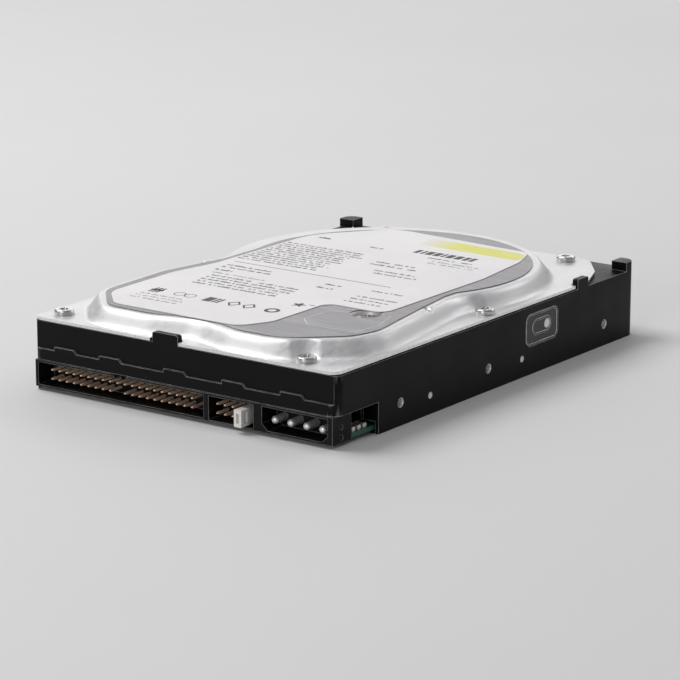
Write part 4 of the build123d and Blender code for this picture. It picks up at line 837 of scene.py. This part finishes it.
def port_seal():
    """Foil seal with a raised rim and oval bead with painted edge highlights, and a bright dome as a painted
    glint.
    """
    low, high = span("port_seal")
    middle = ((low[1] + high[1]) / 2, (low[2] + high[2]) / 2)
    raised = (middle[0], middle[1] + BEAD_RISE)
    size = (high[1] - low[1], high[2] - low[2])
    wall = on_side(1)
    outer = rounded_box(middle, *size, SEAL_R, 0.3)
    prism("port_seal_foil", [outer], low[0], high[0] - 0.16, "foil", slot="foil",
          replaces=("port_seal",), turn=wall)
    for name, place, (wide, tall), radius, rim in (
            ("port_seal_rim", middle, size, SEAL_R, SEAL_RIM),
            ("port_seal_bead", raised, BEAD_SIZE, SEAL_BEAD_R, SEAL_BEAD_W)):
        ring = [rounded_box(place, wide, tall, radius, 0.25),
                rounded_box(place, wide - 2 * rim, tall - 2 * rim, radius - rim, 0.25)]
        # Their rounded edges take the light foil edge colour: a painted highlight.
        bead = prism(name, ring, high[0] - 0.17, high[0], ["foil", "foil_edge_highlight"], slot="foil", turn=wall)
        bevel(bead, 0.14, 3, 40, 1)
    # A bright bare-metal dome stands in for a glint on the curved bead: a painted highlight.
    glint_dome_profile = [(1.35, 0.0), (1.3, 0.05), (1.05, 0.1), (0.6, 0.135), (0.02, 0.15), (0.02, -0.02), (1.35, -0.02)]
    lathe("port_seal_glint_dome", [(SIDE_X - 0.16, raised[0] + GLINT_SHIFT, raised[1])], glint_dome_profile, "bare", sides=28,
          axis=(1, 0, 0), capped=False, smooth=True, slot="foil")


SIDE_TAPS = [(FRONT_Y + depth, 6.35) for depth in (28.5, 70.1, 130.1)]
BOTTOM_TAPS = [at(side * 47.625, depth) for side in (-1, 1) for depth in (41.28, 85.73)]
DIMPLES = [(FRONT_Y + 42.2, 5.2), (FRONT_Y + 86.9, 5.4)]
DIMPLE_CUP = [(0.88, -0.02), (0.86, -0.1), (0.7, -0.34), (0.35, -0.44), (0.02, -0.46), (0.02, -0.48),
              (0.88, -0.48)]
TAP_R = 1.35
TAP_DEPTH = 3.2
THREAD_PITCH = 0.794
THREAD_CREST, THREAD_ROOT = TAP_R - 0.26, TAP_R - 0.05


def thread_profile():
    """Section of a tapped hole's lining: crests and roots, then its floor, back to the mouth."""
    profile = [(TAP_R - 0.01, -0.05), (THREAD_ROOT, -0.18)]
    depth = 0.2
    while depth < TAP_DEPTH - 0.3:
        profile += [(THREAD_CREST, -depth - THREAD_PITCH * 0.5), (THREAD_ROOT, -depth - THREAD_PITCH)]
        depth += THREAD_PITCH
    profile = [pair for pair in profile if pair[1] > 0.1 - TAP_DEPTH]
    return profile + [(0.9, 0.06 - TAP_DEPTH), (0.02, 0.04 - TAP_DEPTH), (0.02, 0.02 - TAP_DEPTH),
                      (TAP_R - 0.01, 0.02 - TAP_DEPTH)]


def tapped_holes():
    """Bare metal threads that line the mounting holes, and the bare floor of the datum dimples."""
    thread = thread_profile()
    linings = []
    for side, word in ((-1, "left"), (1, "right")):
        for name, holes, profile in (("threads", SIDE_TAPS, thread), ("dimples", DIMPLES, DIMPLE_CUP)):
            places = [(side * SIDE_X, y, z) for y, z in holes]
            linings.append((f"{word}_{name}", places, profile, (side, 0, 0)))
    linings.append(("bottom_threads", [(x, y, 0) for x, y in BOTTOM_TAPS], thread, (0, 0, -1)))
    for name, places, profile, axis in linings:
        lathe(name, places, profile, "bare", axis=axis, slot="machined_aluminium", capped=False, smooth=True)


# -------- circuit board details
IDE_PINS_X = [-45.8 + 2.54 * column for column in range(20)]
JUMPER_PINS_X = [10.9 + 2.54 * column for column in range(5)]
POWER_PINS_X = [29.6 + 5.08 * column for column in range(4)]


def bent(start, end):
    """A trace from one point to another: straight, then at 45 degrees, then straight."""
    dx, dy = end[0] - start[0], end[1] - start[1]
    lean = min(abs(dx), abs(dy))
    straight = (abs(dy) - lean) / 2
    first = (start[0], start[1] + math.copysign(straight, dy))
    second = (first[0] + math.copysign(lean, dx), first[1] + math.copysign(lean, dy))
    last = (end[0], second[1]) if abs(dx) <= lean + 0.01 else end
    return [start, first, second, last]


BOARD_SKIN = BOARD_Z - 0.035
TRACE_W, POWER_TRACE_W, LEGEND_W = 0.28, 1.5, 0.22
DOWN = (0, 0, -1)
PIN_JOINT = [(0.86, 0.0), (0.8, 0.16), (0.5, 0.42), (0.34, 0.62), (0.3, 0.78), (0.02, 0.82)]
POWER_JOINT = [(1.9, 0.0), (1.8, 0.2), (1.2, 0.6), (0.9, 0.8), (0.02, 0.86)]


def board_traces():
    """Signal traces between the socket and the chips, and the vias that they end in."""
    traces = []
    vias = []
    chip_x, chip_y = centre("controller_chip")
    for column, x in enumerate(IDE_PINS_X[2:]):
        vias.append(at(x, 15.0))
        traces.append(bent(vias[-1], (chip_x - 8.5 + column, chip_y - 11.2)))
    cache_x, cache_y = centre("cache_chip")
    for column in range(15):
        step = column * 1.1
        vias.append((cache_x - 8.0 + step, cache_y - 6.2))
        traces.append(bent((chip_x - 8.5 + step, chip_y + 11.2), vias[-1]))
    driver_x, driver_y = centre("motor_driver_chip")
    for row in range(10):
        y = driver_y - 4.5 + row
        turn_x = driver_x + 9.5 + row * 0.5
        vias.append((turn_x + 1.5, y - 9.0))
        traces.append([(driver_x + 7.0, y), (turn_x, y), (turn_x + 1.5, y - 1.5), vias[-1]])
    for row in range(12):
        y = chip_y - 6.0 + row
        turn_x = chip_x + 13.5 + (row % 3) * 1.4
        vias.append((turn_x + 5.0, y + 1.6))
        traces.append([(chip_x + 11.2, y), (turn_x, y), (turn_x + 1.6, y + 1.6), vias[-1]])
    return traces, vias


def board_copper():
    """Traces and vias on the board's visible underside, with more vias scattered clear of the motor."""
    rng = random.Random(11)
    traces, vias = board_traces()
    while len(vias) < 150:
        place = (rng.uniform(-42, 42), at(0, rng.uniform(21, 101))[1])
        if math.hypot(place[0] - SPINDLE[0], place[1] - SPINDLE[1]) > 20:
            vias.append(place)
    ribbons("board_traces", traces, TRACE_W, BOARD_SKIN, BOARD_Z, "trace", slot="board_green")
    rings("board_vias", vias, 0.16, 0.36, BOARD_SKIN - 0.01, BOARD_Z, "pad", sides=12, slot="pin_tin")
    power = [[at(x, 14.5), at(x, 19.0 + 2 * i), at(x - 4, 23.0 + 2 * i), at(x - 4, 34.0)]
             for i, x in enumerate(POWER_PINS_X)]
    ribbons("board_power_traces", power, POWER_TRACE_W, BOARD_SKIN, BOARD_Z, "trace", slot="board_green")


def board_solder():
    """Solder cones at the pins, and flat test pads."""
    places = [(x, FRONT_Y + depth, BOARD_Z) for x in IDE_PINS_X + JUMPER_PINS_X for depth in (11.2, 13.6)]
    lathe("solder_joints", places, PIN_JOINT, "pad", sides=16, axis=DOWN, slot="pin_tin", smooth=True)
    places = [(x, FRONT_Y + 12.4, BOARD_Z) for x in POWER_PINS_X]
    lathe("power_solder_joints", places, POWER_JOINT, "pad", sides=24, axis=DOWN, slot="pin_tin",
          smooth=True)
    places = [(x, FRONT_Y + depth, BOARD_Z) for x in np.arange(-36, 37, 6.0) for depth in (101.5, 20.0)]
    lathe("test_pads", places, [(0.6, 0.0), (0.6, 0.04), (0.02, 0.045)], "pad", sides=20, axis=DOWN,
          slot="pin_tin")


def board_legend():
    """White corner marks and frames round the larger parts, and a dot at each chip's first pin."""
    legend = []
    dots = []
    for node in CHIPS:
        low, high = span(node)
        x0, y0, x1, y1 = low[0] - 0.9, low[1] - 0.9, high[0] + 0.9, high[1] + 0.9
        legend.append([(x0, y0 + 3), (x0, y0), (x0 + 3, y0)])
        legend.append([(x1 - 3, y1), (x1, y1), (x1, y1 - 3)])
        legend.append([(x1 - 3, y0), (x1, y0), (x1, y0 + 3)])
        dots.append((low[0] + 2.4, low[1] + 2.4, low[2]))
    for node in ("power_inductors", "crystal"):
        low, high = span(node)
        x0, y0, x1, y1 = low[0] - 0.6, low[1] - 0.6, high[0] + 0.6, high[1] + 0.6
        legend.append([(x0, y0), (x1, y0), (x1, y1), (x0, y1), (x0, y0)])
    ribbons("board_legend", legend, LEGEND_W, BOARD_SKIN, BOARD_Z, "silk", slot="filter_white")
    lathe("pin_one_dots", dots, [(0.55, -0.02), (0.55, 0.012), (0.02, 0.014)], "silk", sides=20, axis=DOWN,
          slot="filter_white")


def corner_parts():
    """Surface-mount parts on the board's upper face, seen through the opening in the right-hand wall."""
    low_z = span("circuit_board")[1][2]
    bodies = [at_box(45.9, depth, 48.9, depth + 1.3) for depth in (9.4, 11.9, 14.4)]
    caps = [(x0 + shift, y0 - 0.05, x0 + shift + 0.7, y1 + 0.05)
            for x0, y0, _, y1 in bodies for shift in (-0.05, 2.35)]
    for name, places, height, material, slot, edge in (
            ("corner_capacitors", bodies, 1.1, "ceramic", "capacitor_tan", 0.08),
            ("corner_capacitor_ends", caps, 1.2, "tin", "pin_tin", 0.1)):
        bevel(blocks(name, places, low_z, low_z + height, material, slot=slot), edge)


# -------- flexible cable inside
FLEX_START = at(-3.0, 32.58)
FLEX_END = at(23.9, 40.5)
FLEX_HALF_T = 0.07


def flex_loop():
    """Amber ribbon that runs from the bracket, turns back in a loop and follows the actuator."""
    low, high = span("flex_cable")
    path = rounded([(*FLEX_START, 0.01), (*at(15.5, 32.58), 3.5), (*at(15.5, 44.5), 3.0), (*FLEX_END, 0.01),
                    (*at(23.9, 40.3), 0.01), (*at(-3.0, 32.3), 0.01)], 0.5)
    first, last = (int(np.argmin(away(path, place))) for place in (FLEX_START, FLEX_END))
    line = path[first:last + 1]
    verts = []
    for i, (x, y) in enumerate(line):
        ahead = Vector(line[min(i + 1, len(line) - 1)] - line[max(i - 1, 0)]).normalized()
        for side in (-FLEX_HALF_T, FLEX_HALF_T):
            verts += [(x - side * ahead.y, y + side * ahead.x, z) for z in (low[2], high[2])]
    loop = make("flex_loop", verts, strip_faces(0, len(line)), "amber", body=None, slot="polyimide",
                replaces=("flex_cable",))
    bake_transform(loop)


# -------- carried-over CAD nodes
def finish_node(node, material, edge=None, width=0.0):
    """A CAD node keeps its shape; it gets its material and, where wanted, rounded edges."""
    piece = NODES[node]
    piece.data.materials.clear()
    piece.data.materials.append(MAT[material])
    if edge:
        piece.data.materials.append(MAT[edge])
    if width:
        bevel(piece, width, angle=35, edge_slot=1 if edge else None)


# The kept nodes by look: a material, the material of their rounded edges and how wide those are.
CAD_LOOKS = {
    # The lighter edge materials of the casting and the connector housing are painted highlights.
    ("casting", "casting_edge_highlight", 0.25): ["base_casting"],
    ("plastic", "plastic_edge_highlight", 0.13): ["connector_housing"],
    ("plastic",): ["motor_connector", "head_connector", "coil_frame"],
    ("gasket",): ["cover_gasket"],
    ("gold",): ["ide_pins", "jumper_pins"],
    ("tin",): ["power_pins", "jumper_clip"],
    ("mask",): ["circuit_board"],
    ("foam",): ["board_insulator"],
    ("ceramic",): ["smd_capacitors"],
    ("resistor",): ["smd_resistors"],
    ("epoxy",): ["sliders"],
    ("epoxy", None, 0.15): ["power_inductors"],
    ("filter",): ["breather_filter", "recirculation_filter"],
    ("machined",): ["flex_bracket", "spindle_hub", "platter_spacer", "disk_clamp", "actuator_carriage"],
    ("machined", None, 0.15): ["motor_flange"],
    ("copper",): ["bearing_sleeve", "stator_windings", "voice_coil"],
    ("nickel",): ["lower_yoke", "lower_magnet", "upper_magnet", "upper_yoke", "latch_magnet",
                  "rotor_magnet"],
    ("steel",): ["stator_core", "yoke_posts", "pivot_shaft", "spindle_shaft", "pivot_sleeve",
                 "suspensions"],
    ("steel", None, 0.15): ["crystal"],
    ("stop",): ["crash_stops"],
    ("platter",): ["platters"],
    ("amber",): ["preamp_flex"],
    ("nylon", None, 0.08): ["jumper_shunt"],
    ("screw",): ["motor_screws", "yoke_screws", "flex_bracket_screws", "clamp_screws"],
    ("screw", None, 0.1): ["cover_screws"],
    ("screw", None, 0.08): ["pivot_cover_screw"],
    ("screw", None, 0.06): ["board_screws"],
}


# -------- stage, camera and light
def look_at(thing, target):
    way = Vector(target) - thing.location
    thing.rotation_euler = way.to_track_quat("-Z", "Y").to_euler()


def area_light(name, place, target, size, power):
    light = bpy.data.lights.new(name, "AREA")
    light.shape = "RECTANGLE"
    light.size, light.size_y = size
    light.energy = power
    lamp = bpy.data.objects.new(name, light)
    bpy.context.scene.collection.objects.link(lamp)
    lamp.location = place
    look_at(lamp, target)


def studio():
    """A pale floor, soft light from four sides and the camera. Lengths here are in metres."""
    mesh = bpy.data.meshes.new("studio_floor")
    reach = 4.0
    corners = [(-reach, -reach, 0), (reach, -reach, 0), (reach, reach, 0), (-reach, reach, 0)]
    mesh.from_pydata(corners, [], [(0, 1, 2, 3)])
    mesh.materials.append(MAT["floor"])
    floor = bpy.data.objects.new("studio_floor", mesh)
    bpy.context.scene.collection.objects.link(floor)
    world = bpy.data.worlds.new("studio")
    bpy.context.scene.world = world
    world.use_nodes = True
    back = world.node_tree.nodes["Background"]
    back.inputs["Color"].default_value = (0.97, 0.97, 1.0, 1.0)
    back.inputs["Strength"].default_value = 0.26
    area_light("key", (-0.62, -0.12, 1.0), (0, 0, 0), (0.7, 0.7), 8.5)
    area_light("rear_left", (-0.85, 1.15, 0.5), (0, 0, 0), (1.2, 0.5), 3.0)
    area_light("rear_right", (0.35, 1.3, 0.95), (0, 0, 0), (0.9, 0.5), 3.5)
    area_light("front_fill", (0.1, -1.1, 0.3), (0, 0, 0.01), (0.5, 0.3), 2.9)
    bpy.context.scene.view_settings.view_transform = "Standard"
    camera = bpy.data.cameras.new("camera")
    camera.lens = 168
    camera.clip_start = 0.05
    eye = bpy.data.objects.new("camera", camera)
    bpy.context.scene.collection.objects.link(eye)
    eye.location = (0.5038, -0.6973, 0.2311)
    look_at(eye, (0.004, -0.006, 0.008))
    bpy.context.scene.camera = eye


top_cover()
damper_plate()
label()
port_seal()
tapped_holes()
board_copper()
board_solder()
board_legend()
corner_parts()
flex_loop()
for look, nodes in CAD_LOOKS.items():
    for node in nodes:
        finish_node(node, *look)
for chip in CHIPS:
    finish_node(chip, chip)
studio()
